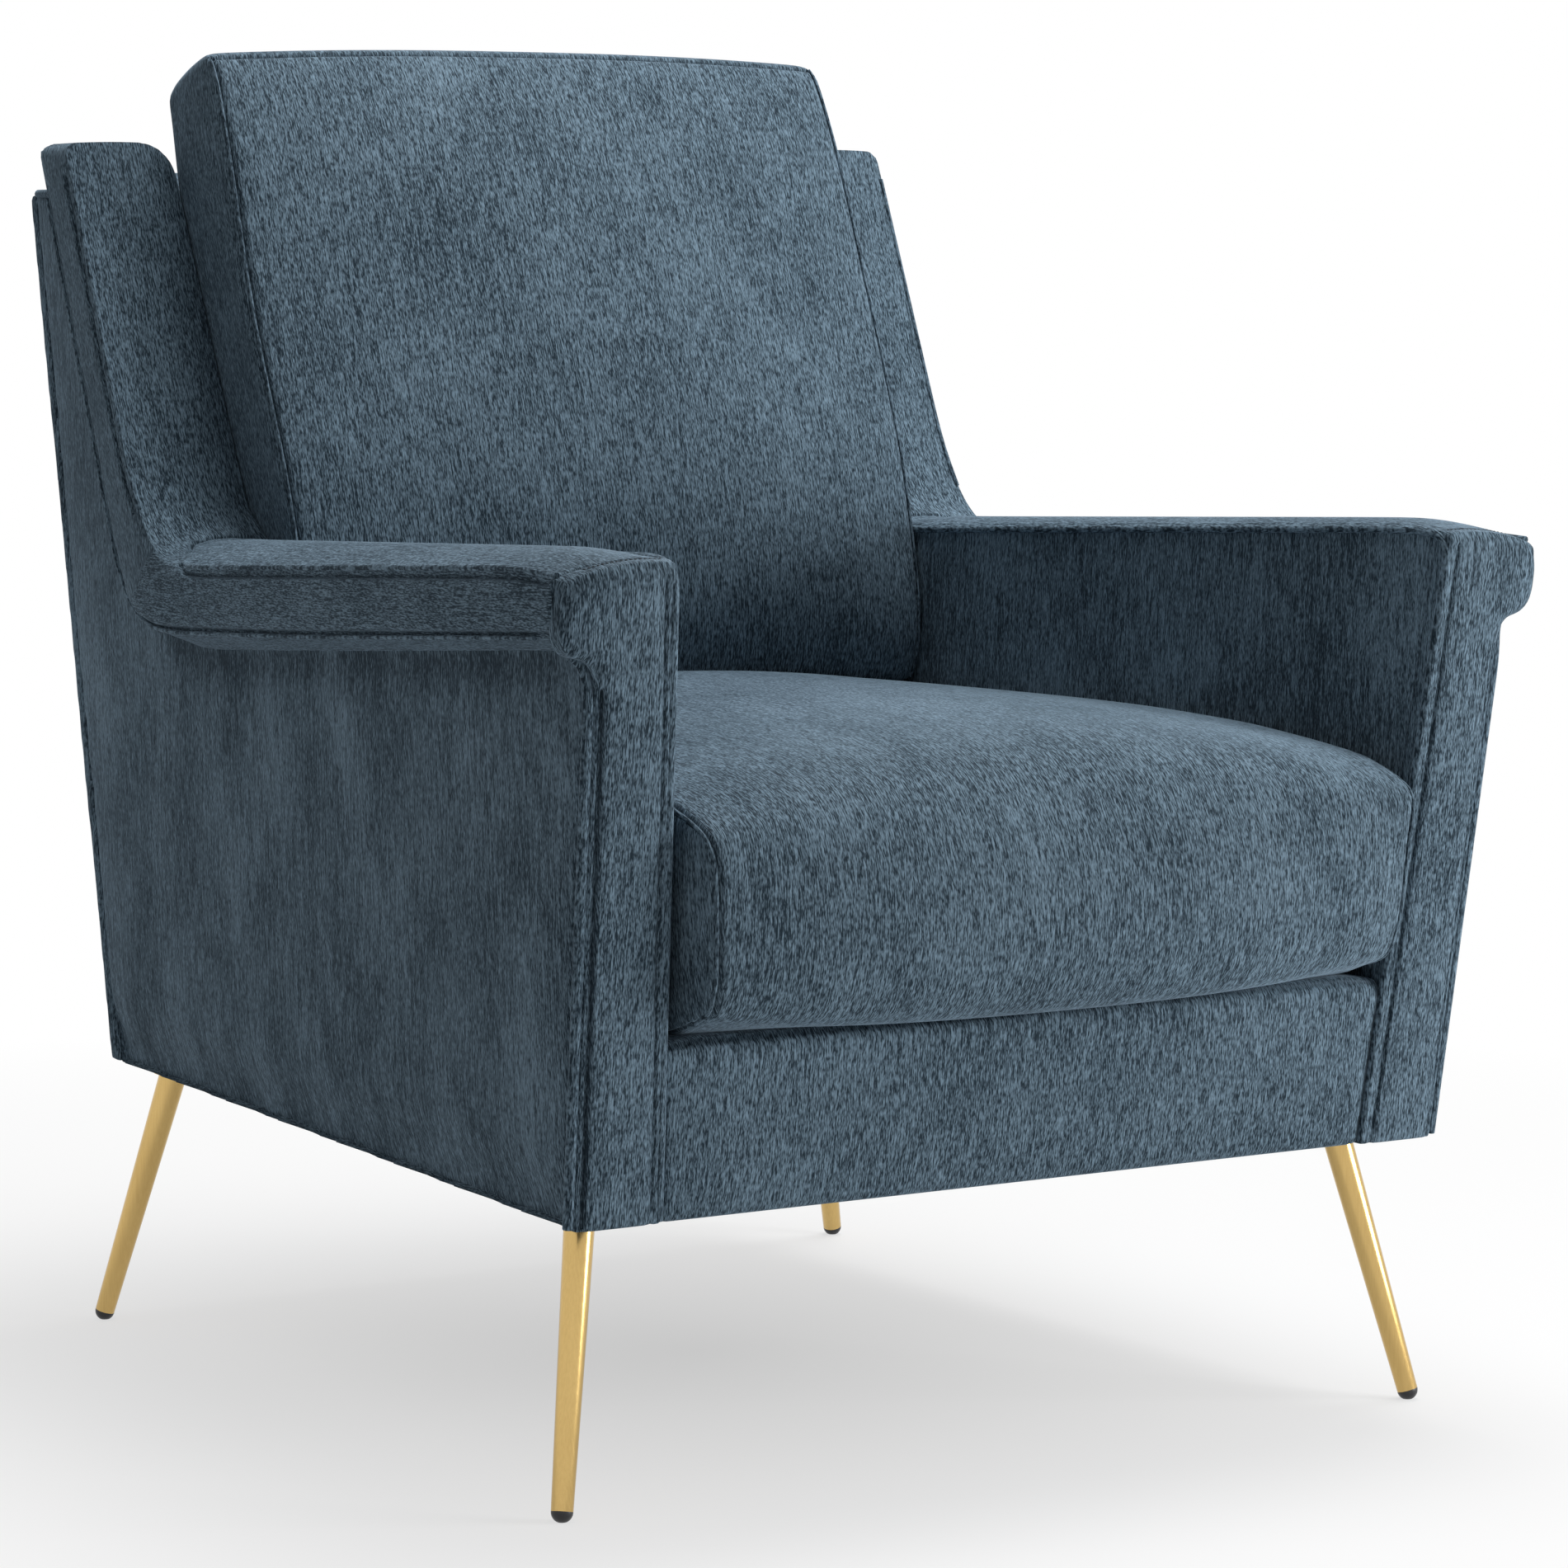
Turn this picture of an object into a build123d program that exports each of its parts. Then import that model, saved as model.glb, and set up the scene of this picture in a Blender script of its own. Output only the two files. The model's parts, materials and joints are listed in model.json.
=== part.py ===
from build123d import *
from math import atan, cos, degrees, radians, sin, tan
import os

os.makedirs("parts", exist_ok=True)

# Lounge armchair on four splayed metal legs. Millimetres, +Z up, the front of
# the chair faces -Y. The origin is on the floor under the middle of the chair.

# ---- overall form ----
overall_depth = 935.0        # front tip of the arms to the top rear edge
base_z = 183.0               # underside of the upholstered body
shell_top_z = 817.0          # top of the back behind the wings
wing_top_z = 848.0           # top of the padded wings
wing_z = 840.0               # level at which wing_setback is measured
cushion_top_z = 918.0        # top of the back cushion
body_half_width = 330.0      # middle to the outer side, front bottom corner
arm_width = 60.0             # outer side to inner side of an arm, same corner
pad_overhang = 35.0          # arm pad's outer side beyond that corner, at its front tip
back_depth = 182.8           # rear bottom corner to the inside back at the seat's top
wing_setback = 114.0         # that point to the front of the wings, at wing_z
side_taper = 3.3             # degrees that the sides close in towards the rear
outer_flare = 1.5            # degrees that the outer sides open towards the top
inner_flare = 2.6            # degrees that the inner sides open towards the top
pad_taper = 2.1              # degrees that the arm pads close in towards the rear
pad_flare = 0.9              # degrees that the wings open towards the top
front_lean = 8.3             # degrees that the front leans forward
back_lean = 9.0              # degrees that the outside back leans back
rest_lean = 18.0             # degrees that the inside back leans back
wing_lean = 23.3             # degrees that the wings lean back
arm_slope = 2.9              # degrees that the arms fall towards the rear
arm_front_z = 593.0          # top of the arm at its front tip

# ---- upholstery ----
facing_thickness = 14.0      # padded front of an arm
panel_thickness = 10.0       # padded outer side
arm_pad_thickness = 30.0     # padding on top of the arm and along the wing
arm_apron = 54.0             # top of the arm pad to the bottom of its outer edge
wing_apron = 50.0            # front of the wing pad to the rear of its outer edge
undercut_rise = 14.0         # slanted lower edge of the arm pad, height
undercut_run = 18.0          # and width
rail_recess = 2.0            # front rail cover behind the facings
rail_pad_thickness = 23.0    # padding in front of the front rail
rail_pad_depth = 55.0        # front rail cover, front to rear along its top
rail_cover_top_z = 295.5     # top of the front rail cover
inside_back_thickness = 30.0
outside_back_thickness = 12.0
top_pad_thickness = 12.0
facing_bevel = 4.0           # bevelled front edges of the facings
edge_round = 4.0             # rounding of the outside back
pad_round = 9.0              # rounding of the arm and wing pads

# ---- timber ----
timber = 25.0                # thickness of every board
rail_bottom_z = 187.2        # underside of the seat rails
rail_top_z = 264.0           # top of the front rail and the spring rail
side_rail_top_z = 300.0
post_depth = 50.0            # front post, front to rear
back_post_depth = 60.0
back_rail_height = 60.0      # the two rails behind the inside back
block_size = 62.0            # corner block, across
block_length = 78.0          # corner block, front to rear
block_height = 45.0
block_bevel = 24.0

# ---- seat springs ----
wire = 4.0                   # spring wire diameter
spring_count = 5
spring_spacing = 88.0
spring_half_width = 25.0
spring_bars = 15             # cross bars of one spring
bend_share = 0.3             # cut of a bend's corner, as a share of the bar pitch
strap = 1.2                  # steel of the clips
clip_width = 14.0
clip_length = 20.0
tie_wire = 2.5
tie_count = 2
running_gap = 0.3            # clearance between pieces that don't press on each other

# ---- back webbing ----
webbing_width = 50.0
webbing_thickness = 1.0
webbing_uprights = 4
webbing_pitch = 100.0        # of the uprights
webbing_margin = 1.0         # ends of the bands to the wing boards
webbing_bands = 5

# ---- cushions ----
cushion_gap = 0.5            # clearance of a loose cushion
seat_overhang = 14.0         # cushion bottom ahead of the front rail
seat_bulge = 30.0            # front of the cushion ahead of its bottom edge
seat_front_z = 438.0         # top of the front roll
seat_crown_z = 467.0
seat_top_z = 456.3           # top of the seat under the back cushion
crown_from_front = 230.0     # front roll to the highest line of the seat
level_depth = 141.0          # level rear of the seat's top, under the back cushion
deck_top_z = 296.0
back_thickness = 82.0        # side band of the back cushion
back_crown = 28.0            # how far its front swells
cushion_bevel = 9.0          # softened edges along both sides
wrap = 14.0                  # fibre wrap between cover and foam core
zip_width = 24.0
zip_thickness = 1.6
zip_clearance = 0.2
zip_margin = 60.0            # end of a zip to the side of its cushion

# ---- underside ----
cover_sheet = 1.5            # dust cover
cover_margin = 3.0           # its edge to the panels around it
plate_size = 50.0
plate_thickness = 3.0
plate_round = 6.0
plate_inset = 36.5           # plate centre to the outer side
screw_spacing = 36.0
screw_radius = 2.25
screw_sides = 8              # flats of a screw and of its hole
screw_length = 28.0
screw_head_radius = 4.5
screw_head = 2.4
screw_clearance = 0.05
plate_hole_radius = 2.6

# ---- legs ----
front_foot = (3.4, 19.0)     # beyond the side at the plate, and behind the front bottom corner
rear_foot = (25.0, 44.8)     # the same, and ahead of the rear bottom corner
front_splay = (11.2, 12.2)   # degrees outwards, and towards the front
rear_splay = (13.1, 11.1)    # degrees outwards, and towards the rear
leg_top_radius = 10.0
leg_end_radius = 7.0
leg_flats = 24               # fine flats that stand for the round of legs and caps
cap_radius = 6.9             # of the black plug that ends a leg
cap_height = 6.2             # end of the leg to the floor, along the leg
cap_length = 8.2             # of the unworn cap, beyond the leg
cap_rim = 2.0                # its straight edge
cap_tip_radius = 2.6
stem_radius = 4.5
stem_length = 14.0
stem_clearance = 0.05

# ---- derived places ----
front_y = -overall_depth / 2 + (arm_front_z - base_z) * tan(radians(front_lean))
back_y = overall_depth / 2 - (shell_top_z - base_z) * tan(radians(back_lean))
rest_y = back_y - back_depth
wing_y = rest_y + wing_setback
plate_bottom_z = rail_bottom_z - cover_sheet - plate_thickness
timber_top_z = shell_top_z - top_pad_thickness
spring_z = rail_top_z + strap + running_gap + wire / 2
tie_z = spring_z + (wire + tie_wire) / 2 + running_gap
deck_bottom_z = tie_z + tie_wire / 2 + running_gap
webbing_depth = inside_back_thickness + 2 * webbing_thickness
reach = 600.0                # more than the chair's half width
sides = {"left": -1, "right": 1}


# Side-view lines: a point (y, z) and a direction. Leans are degrees back from
# the vertical, and an inset moves the line to the rear, or down for a level one.
def side_line(y, z, lean, inset):
    angle = radians(lean)
    point = (y + inset * cos(angle), z - inset * sin(angle))
    return point, (sin(angle), cos(angle))


def front_line(inset):
    return side_line(front_y, base_z, -front_lean, inset)


def back_line(inset):
    return side_line(back_y, base_z, back_lean, -inset)


def rest_line(inset):
    return side_line(rest_y, seat_top_z, rest_lean, inset)


def wing_line(inset):
    return side_line(wing_y, wing_z, wing_lean, inset)


def arm_line(drop):
    return side_line(-overall_depth / 2, arm_front_z, 90 + arm_slope, drop)


def level_line(z):
    return side_line(0, z, 90, 0)


def upright_line(y):
    return side_line(y, 0, 0, 0)


def meet(line_a, line_b):
    (ya, za), (dya, dza) = line_a
    (yb, zb), (dyb, dzb) = line_b
    along = ((yb - ya) * dzb - (zb - za) * dyb) / (dya * dzb - dza * dyb)
    return (ya + along * dya, za + along * dza)


def line_plane(line):
    # The plane that holds a side-view line and runs across the chair, facing rearwards.
    (y, z), (dy, dz) = line
    return Plane(origin=(0, y, z), z_dir=(0, dz, -dy))


# Distance from the middle to each side wall, at a depth and a height.
def outer_reach(y, z):
    closing = (y - front_y) * tan(radians(side_taper))
    return body_half_width - closing + (z - base_z) * tan(radians(outer_flare))


def inner_reach(y, z):
    closing = (y - front_y) * tan(radians(side_taper))
    return body_half_width - arm_width - closing + (z - base_z) * tan(radians(inner_flare))


def pad_reach(y, z):
    closing = (y + overall_depth / 2) * tan(radians(pad_taper))
    return body_half_width + pad_overhang - closing + (z - arm_front_z) * tan(radians(pad_flare))


def wall(side, wall_reach, inset=0.0):
    # A side wall as a plane that faces away from the middle.
    at_front = wall_reach(front_y, base_z)
    per_y = wall_reach(front_y + 1, base_z) - at_front
    per_z = wall_reach(front_y, base_z + 1) - at_front
    return Plane(
        origin=(side * (at_front - inset), front_y, base_z),
        z_dir=(side, -per_y, -per_z),
    )


def side_view(profile):
    # The face that a side-view profile encloses.
    with BuildSketch(Plane.YZ) as face:
        with BuildLine():
            Polyline(*profile, close=True)
        make_face()
    return face.sketch


def side_piece(side, profile, outer, inner):
    # A side-view profile between two walls of one side, in the part being built.
    extrude(side_view(profile), amount=side * reach)
    split(bisect_by=outer, keep=Keep.BOTTOM)
    split(bisect_by=inner, keep=Keep.TOP)


def cross_piece(profile, wall_reach, inset):
    # A side-view profile that runs across the chair from wall to wall.
    extrude(side_view(profile), amount=reach, both=True)
    for side in sides.values():
        split(bisect_by=wall(side, wall_reach, inset), keep=Keep.BOTTOM)


def between(line_a, line_b, line_c, line_d):
    # The four corners of lines a and b crossed by c and d.
    return [meet(line_a, line_c), meet(line_a, line_d), meet(line_b, line_d), meet(line_b, line_c)]


def save(builder, name):
    builder.part.label = name
    export_step(builder.part, f"parts/{name}.step")


def foot_fall(splay, turn):
    # How far the foot runs out and along for each millimetre of fall.
    return (tan(radians(splay[0])), turn * tan(radians(splay[1])))


# Foot and plate places of the four legs. Each stands off the side of the body at
# the depth of its plate.
leg_rows = {
    "front": (front_foot[0], front_y + front_foot[1], front_splay, -1),
    "rear": (rear_foot[0], back_y - rear_foot[1], rear_splay, 1),
}
feet = {}
plates = {}
for row, (stand_off, foot_y, splay, turn) in leg_rows.items():
    plate_y = foot_y - foot_fall(splay, turn)[1] * plate_bottom_z
    for side_name, side in sides.items():
        flank = outer_reach(plate_y, base_z)
        feet[f"{row}_{side_name}"] = Vector(side * (flank + stand_off), foot_y, 0)
        plates[f"{row}_{side_name}"] = (side * (flank - plate_inset), plate_y)
screw_offsets = [
    (dx * screw_spacing / 2, dy * screw_spacing / 2) for dx in (-1, 1) for dy in (-1, 1)
]
screw_places = [(x + dx, y + dy) for x, y in plates.values() for dx, dy in screw_offsets]


def drill_screws():
    # Pilot holes of the leg screws, from below, in the part being built.
    with BuildSketch(Plane.XY.offset(rail_bottom_z - cover_sheet)) as holes:
        with Locations(*screw_places):
            RegularPolygon(screw_radius + screw_clearance, side_count=screw_sides)
    extrude(holes.sketch, amount=screw_length, mode=Mode.SUBTRACT)


# ---------------------------------------------------------------- timber frame
timber_inner = panel_thickness + timber
rail_front = rail_recess + rail_pad_thickness
wing_board_y = meet(rest_line(webbing_depth), level_line(side_rail_top_z))[0]
spring_rail_y = meet(rest_line(inside_back_thickness), level_line(rail_top_z))[0]
post_rear = facing_thickness + post_depth
back_post_front = outside_back_thickness + back_post_depth

for side_name, side in sides.items():
    timber_walls = (wall(side, outer_reach, panel_thickness), wall(side, outer_reach, timber_inner))

    with BuildPart() as front_post:
        profile = between(
            front_line(facing_thickness),
            front_line(post_rear),
            level_line(rail_bottom_z),
            arm_line(arm_apron),
        )
        side_piece(side, profile, *timber_walls)
        drill_screws()
    save(front_post, f"front_post_{side_name}")

    with BuildPart() as side_rail:
        profile = between(
            level_line(rail_bottom_z),
            level_line(side_rail_top_z),
            front_line(post_rear),
            back_line(back_post_front),
        )
        side_piece(side, profile, *timber_walls)
        drill_screws()
    save(side_rail, f"side_rail_{side_name}")

    with BuildPart() as back_post:
        profile = between(
            back_line(back_post_front),
            back_line(outside_back_thickness),
            level_line(rail_bottom_z),
            level_line(timber_top_z),
        )
        side_piece(side, profile, *timber_walls)
        drill_screws()
    save(back_post, f"back_post_{side_name}")

    with BuildPart() as arm_rail:
        profile = between(
            arm_line(arm_pad_thickness),
            arm_line(arm_apron),
            front_line(facing_thickness),
            upright_line(wing_board_y),
        )
        side_piece(side, profile, *timber_walls)
    save(arm_rail, f"arm_rail_{side_name}")

    with BuildPart() as wing_board:
        profile = [
            (wing_board_y, side_rail_top_z),
            meet(upright_line(wing_board_y), arm_line(arm_pad_thickness)),
            meet(arm_line(arm_pad_thickness), wing_line(arm_pad_thickness)),
            meet(wing_line(arm_pad_thickness), level_line(timber_top_z)),
            meet(back_line(back_post_front), level_line(timber_top_z)),
            meet(back_line(back_post_front), level_line(side_rail_top_z)),
        ]
        side_piece(side, profile, *timber_walls)
    save(wing_board, f"wing_board_{side_name}")

with BuildPart() as front_rail:
    profile = between(
        front_line(rail_front),
        front_line(rail_front + timber),
        level_line(rail_bottom_z),
        level_line(rail_top_z),
    )
    cross_piece(profile, outer_reach, timber_inner)
    drill_screws()
save(front_rail, "front_rail")

with BuildPart() as spring_rail:
    profile = between(
        upright_line(spring_rail_y),
        upright_line(spring_rail_y + timber),
        level_line(rail_bottom_z),
        level_line(rail_top_z),
    )
    cross_piece(profile, outer_reach, timber_inner)
save(spring_rail, "spring_rail")

with BuildPart() as rear_rail:
    profile = between(
        back_line(outside_back_thickness),
        back_line(outside_back_thickness + timber),
        level_line(rail_bottom_z),
        level_line(rail_top_z),
    )
    cross_piece(profile, outer_reach, timber_inner)
save(rear_rail, "rear_rail")

back_rail_levels = {
    "back_lower_rail": side_rail_top_z,
    "back_top_rail": timber_top_z - back_rail_height,
}
for rail_name, rail_z in back_rail_levels.items():
    with BuildPart() as back_rail:
        profile = between(
            rest_line(webbing_depth),
            rest_line(webbing_depth + timber),
            level_line(rail_z),
            level_line(rail_z + back_rail_height),
        )
        cross_piece(profile, outer_reach, timber_inner)
    save(back_rail, rail_name)

# Corner blocks carry the leg plates together with the rails' lower edges.
front_block_y = meet(front_line(rail_front + timber), level_line(rail_bottom_z))[0]
rear_block_y = meet(back_line(outside_back_thickness + timber), level_line(rail_bottom_z))[0]
block_runs = {
    "front": (front_block_y, front_block_y + block_length),
    "rear": (rear_block_y - block_length, rear_block_y),
}
with BuildPart() as corner_blocks:
    for row, (block_front, block_rear) in block_runs.items():
        free_end = block_rear if row == "front" else block_front
        rail_end = block_front if row == "front" else block_rear
        step = block_bevel if row == "front" else -block_bevel
        for side in sides.values():
            flank = [outer_reach(y, rail_bottom_z) - timber_inner for y in (rail_end, free_end)]
            inner_x = min(flank) - block_size
            corners = [
                (flank[0], rail_end),
                (flank[1], free_end),
                (inner_x + block_bevel, free_end),
                (inner_x, free_end - step),
                (inner_x, rail_end),
            ]
            with BuildSketch(Plane.XY.offset(rail_bottom_z)):
                with BuildLine():
                    Polyline(*[(side * x, y) for x, y in corners], close=True)
                make_face()
            extrude(amount=block_height)
    split(bisect_by=line_plane(front_line(rail_front + timber)), keep=Keep.TOP)
    split(bisect_by=line_plane(back_line(outside_back_thickness + timber)), keep=Keep.BOTTOM)
    drill_screws()
save(corner_blocks, "corner_blocks")

# ------------------------------------------------------------------ upholstery
arm_elbow = meet(arm_line(arm_pad_thickness), wing_line(arm_pad_thickness))
mitre_inner = meet(arm_line(0), wing_line(0))
mitre_outer = meet(arm_line(arm_apron), wing_line(wing_apron))
arm_tip = meet(front_line(0), arm_line(0))
neck = meet(front_line(0), arm_line(arm_apron))
shell_top = level_line(shell_top_z)
wing_top = level_line(wing_top_z)
body_floor = level_line(base_z)


# What the frame, the outer side and the inner side take up under the pads.
frame_view = [
    meet(front_line(0), arm_line(arm_pad_thickness)),
    arm_elbow,
    meet(wing_line(arm_pad_thickness), shell_top),
    (reach, shell_top_z),
    (reach, base_z),
    meet(front_line(0), body_floor),
]


def wall_block(side, profile, outer, inner):
    # The same piece as side_piece, as a separate solid to add or take away.
    with BuildPart() as block:
        side_piece(side, profile, outer, inner)
    return block.part


for side_name, side in sides.items():
    middle_wall = wall(side, inner_reach)
    side_wall = wall(side, outer_reach)
    pad_wall = wall(side, pad_reach)

    # Padded front of the arm, with the overhang of the arm pad at its top.
    with BuildPart() as facing:
        front_view = [
            (inner_reach(front_y, base_z), base_z),
            (outer_reach(front_y, base_z), base_z),
            (outer_reach(*neck), neck[1]),
            (pad_reach(*neck), neck[1] + undercut_rise),
            (pad_reach(*arm_tip), arm_tip[1]),
            (inner_reach(*arm_tip), arm_tip[1]),
        ]
        with BuildSketch(Plane.XZ):
            with BuildLine():
                Polyline(*[(side * x, z) for x, z in front_view], close=True)
            make_face()
        extrude(amount=reach)
        split(bisect_by=line_plane(front_line(0)), keep=Keep.TOP)
        split(bisect_by=line_plane(front_line(facing_thickness)), keep=Keep.BOTTOM)
        front_face = facing.faces().sort_by(Axis.Y)[0]
        chamfer(front_face.edges(), length=facing_bevel)
    save(facing, f"facing_{side_name}")

    with BuildPart() as outer_arm:
        profile = [
            meet(front_line(facing_thickness), body_floor),
            meet(front_line(facing_thickness), arm_line(arm_pad_thickness)),
            arm_elbow,
            meet(wing_line(arm_pad_thickness), shell_top),
            meet(back_line(outside_back_thickness), shell_top),
            meet(back_line(outside_back_thickness), body_floor),
        ]
        side_piece(side, profile, side_wall, wall(side, outer_reach, panel_thickness))
    save(outer_arm, f"outer_arm_{side_name}")

    with BuildPart() as inner_arm:
        profile = [
            meet(front_line(facing_thickness), level_line(deck_bottom_z)),
            meet(front_line(facing_thickness), arm_line(arm_pad_thickness)),
            arm_elbow,
            meet(wing_line(arm_pad_thickness), shell_top),
            meet(rest_line(inside_back_thickness), shell_top),
            meet(rest_line(inside_back_thickness), level_line(deck_bottom_z)),
        ]
        side_piece(side, profile, wall(side, outer_reach, timber_inner), middle_wall)
    save(inner_arm, f"inner_arm_{side_name}")

    # Arm pad: a slab along the top, and an apron that hangs outside the panel.
    arm_slab = [
        meet(front_line(facing_thickness), arm_line(0)),
        mitre_inner,
        mitre_outer,
        meet(front_line(facing_thickness), arm_line(arm_apron)),
    ]
    frame_space = wall_block(side, frame_view, side_wall, Plane.YZ if side > 0 else -Plane.YZ)
    with BuildPart() as arm_pad:
        side_piece(side, arm_slab, pad_wall, middle_wall)
        add(frame_space, mode=Mode.SUBTRACT)
        outer_face = arm_pad.faces().sort_by(Axis.X)[0 if side < 0 else -1]
        lower_edge = outer_face.edges().sort_by(Axis.Z)[0]
        chamfer(lower_edge, length=undercut_rise, length2=undercut_run, reference=outer_face)
        top_face = arm_pad.faces().sort_by(Axis.Z)[-1]
        fillet(top_face.edges().sort_by(SortBy.LENGTH)[-2:], radius=pad_round)
    save(arm_pad, f"arm_pad_{side_name}")

    # Wing pad: the same slab and apron turned up along the side of the back.
    wing_slab = [
        mitre_inner,
        meet(wing_line(0), wing_top),
        meet(wing_line(wing_apron), wing_top),
        mitre_outer,
    ]
    with BuildPart() as wing_pad:
        side_piece(side, wing_slab, pad_wall, middle_wall)
        add(frame_space, mode=Mode.SUBTRACT)
        front_face = wing_pad.faces().sort_by(Axis.Y)[0]
        fillet(front_face.edges().sort_by(SortBy.LENGTH)[-2:], radius=pad_round)
    save(wing_pad, f"wing_pad_{side_name}")

with BuildPart() as front_rail_cover:
    profile = [
        meet(front_line(rail_recess), body_floor),
        meet(front_line(rail_recess), level_line(rail_cover_top_z)),
        meet(front_line(rail_pad_depth), level_line(rail_cover_top_z)),
        meet(front_line(rail_pad_depth), level_line(deck_bottom_z)),
        meet(front_line(rail_front), level_line(deck_bottom_z)),
        meet(front_line(rail_front), body_floor),
    ]
    cross_piece(profile, inner_reach, running_gap)
    top_edge = front_rail_cover.faces().sort_by(Axis.Z)[-1].edges().sort_by(Axis.Y)[0]
    fillet(top_edge, radius=pad_round)
save(front_rail_cover, "front_rail_cover")

with BuildPart() as seat_deck:
    profile = between(
        level_line(deck_bottom_z),
        level_line(deck_top_z),
        front_line(rail_pad_depth),
        rest_line(0),
    )
    cross_piece(profile, inner_reach, running_gap)
save(seat_deck, "seat_deck")

with BuildPart() as inside_back:
    profile = between(
        rest_line(0),
        rest_line(inside_back_thickness),
        level_line(deck_bottom_z),
        shell_top,
    )
    cross_piece(profile, inner_reach, running_gap)
save(inside_back, "inside_back")

with BuildPart() as outside_back:
    profile = between(back_line(outside_back_thickness), back_line(0), body_floor, shell_top)
    cross_piece(profile, outer_reach, 0)
    rear_face = outside_back.faces().sort_by(Axis.Y)[-1]
    fillet(rear_face.edges(), radius=edge_round)
save(outside_back, "outside_back")

with BuildPart() as back_top_pad:
    profile = between(
        rest_line(inside_back_thickness),
        back_line(outside_back_thickness),
        level_line(timber_top_z),
        shell_top,
    )
    cross_piece(profile, outer_reach, panel_thickness)
save(back_top_pad, "back_top_pad")

# --------------------------------------------------------------------- springs
spring_front_y = meet(front_line(rail_front + timber), level_line(spring_z))[0] - clip_length / 2
spring_rear_y = spring_rail_y + clip_length / 2
bar_pitch = (spring_rear_y - spring_front_y) / (spring_bars - 1)
spring_places = [
    (index - (spring_count - 1) / 2) * spring_spacing for index in range(spring_count)
]
bend = bar_pitch * bend_share
spring_route = []
for bar in range(spring_bars):
    bar_y = spring_front_y + bar * bar_pitch
    turn = -1 if bar % 2 else 1
    if bar:
        spring_route.append((-turn * spring_half_width, bar_y - bend))
    spring_route.append((-turn * (spring_half_width - bend), bar_y))
    spring_route.append((turn * (spring_half_width - bend), bar_y))
    if bar < spring_bars - 1:
        spring_route.append((turn * spring_half_width, bar_y + bend))

# One zigzag of hardened wire, repeated across the seat.
with BuildPart() as zigzag:
    with BuildLine(Plane.XY.offset(spring_z)) as route:
        Polyline(*spring_route)
    start = route.wires()[0].edges().sort_by(Axis.Y)[0]
    with BuildSketch(Plane(start @ 0, z_dir=start % 0)):
        RegularPolygon(wire / 2, side_count=6)
    sweep(path=route.wires()[0], transition=Transition.RIGHT)
with BuildPart() as seat_springs:
    with Locations(*[(x, 0, 0) for x in spring_places]):
        add(zigzag.part)
save(seat_springs, "seat_springs")

# Clips: a strap nailed to the rail that folds back over the spring's end bar.
clip_opening = wire + 2 * running_gap
with BuildPart() as clip:
    with BuildSketch(Plane.YZ):
        with BuildLine():
            Polyline(
                (clip_length / 2, 0),
                (-clip_length / 2, 0),
                (-clip_length / 2, clip_opening + 2 * strap),
                (clip_length / 4, clip_opening + 2 * strap),
                (clip_length / 4, clip_opening + strap),
                (-clip_length / 2 + strap, clip_opening + strap),
                (-clip_length / 2 + strap, strap),
                (clip_length / 2, strap),
                close=True,
            )
        make_face()
    extrude(amount=clip_width / 2, both=True)
with BuildPart() as spring_clips:
    with Locations(*[Pos(x, spring_front_y, rail_top_z) for x in spring_places]):
        add(clip.part)
    with Locations(*[Pos(x, spring_rear_y, rail_top_z) * Rot(Z=180) for x in spring_places]):
        add(clip.part)
save(spring_clips, "spring_clips")

with BuildPart() as spring_ties:
    for index in range(tie_count):
        share = (index + 1) / (tie_count + 1)
        tie_y = spring_front_y + share * (spring_rear_y - spring_front_y)
        tie_half = outer_reach(tie_y, tie_z) - timber_inner - running_gap
        with BuildSketch(Plane.YZ):
            with Locations((tie_y, tie_z)):
                Circle(tie_wire / 2)
        extrude(amount=tie_half, both=True)
save(spring_ties, "spring_ties")

# Elastic webbing behind the inside back: uprights in front, bands behind them.
with BuildPart() as back_webbing:
    low_z = side_rail_top_z
    for index in range(webbing_uprights):
        x = (index - (webbing_uprights - 1) / 2) * webbing_pitch
        upright = between(
            rest_line(inside_back_thickness),
            rest_line(inside_back_thickness + webbing_thickness),
            level_line(low_z),
            level_line(timber_top_z),
        )
        with BuildSketch(Plane.YZ.offset(x - webbing_width / 2)):
            with BuildLine():
                Polyline(*upright, close=True)
            make_face()
        extrude(amount=webbing_width)
    clear_height = timber_top_z - low_z - 2 * back_rail_height
    band_pitch = clear_height / webbing_bands
    for index in range(webbing_bands):
        band_z = low_z + back_rail_height + (index + 0.5) * band_pitch
        band = between(
            rest_line(inside_back_thickness + webbing_thickness),
            rest_line(inside_back_thickness + 2 * webbing_thickness),
            level_line(band_z - webbing_width / 2),
            level_line(band_z + webbing_width / 2),
        )
        band_reach = outer_reach(*band[1]) - timber_inner - webbing_margin
        with BuildSketch(Plane.YZ):
            with BuildLine():
                Polyline(*band, close=True)
            make_face()
        extrude(amount=band_reach, both=True)
save(back_webbing, "back_webbing")


# -------------------------------------------------------------------- cushions
def between_arms(inset):
    # Closes the part being built in between the inner sides of the arms.
    for side in sides.values():
        split(bisect_by=wall(side, inner_reach, cushion_gap + inset), keep=Keep.BOTTOM)


def soften(corner, toward):
    # Takes off the two corners where a cushion's sides meet the face at this
    # side-view point, which looks towards the given direction.
    for side in sides.values():
        flank = wall(side, inner_reach)
        x = side * (inner_reach(*corner) - cushion_gap - cushion_bevel)
        bevel = Plane(origin=(x, *corner), z_dir=flank.z_dir + Vector(0, *toward))
        split(bisect_by=bevel, keep=Keep.BOTTOM)


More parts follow.
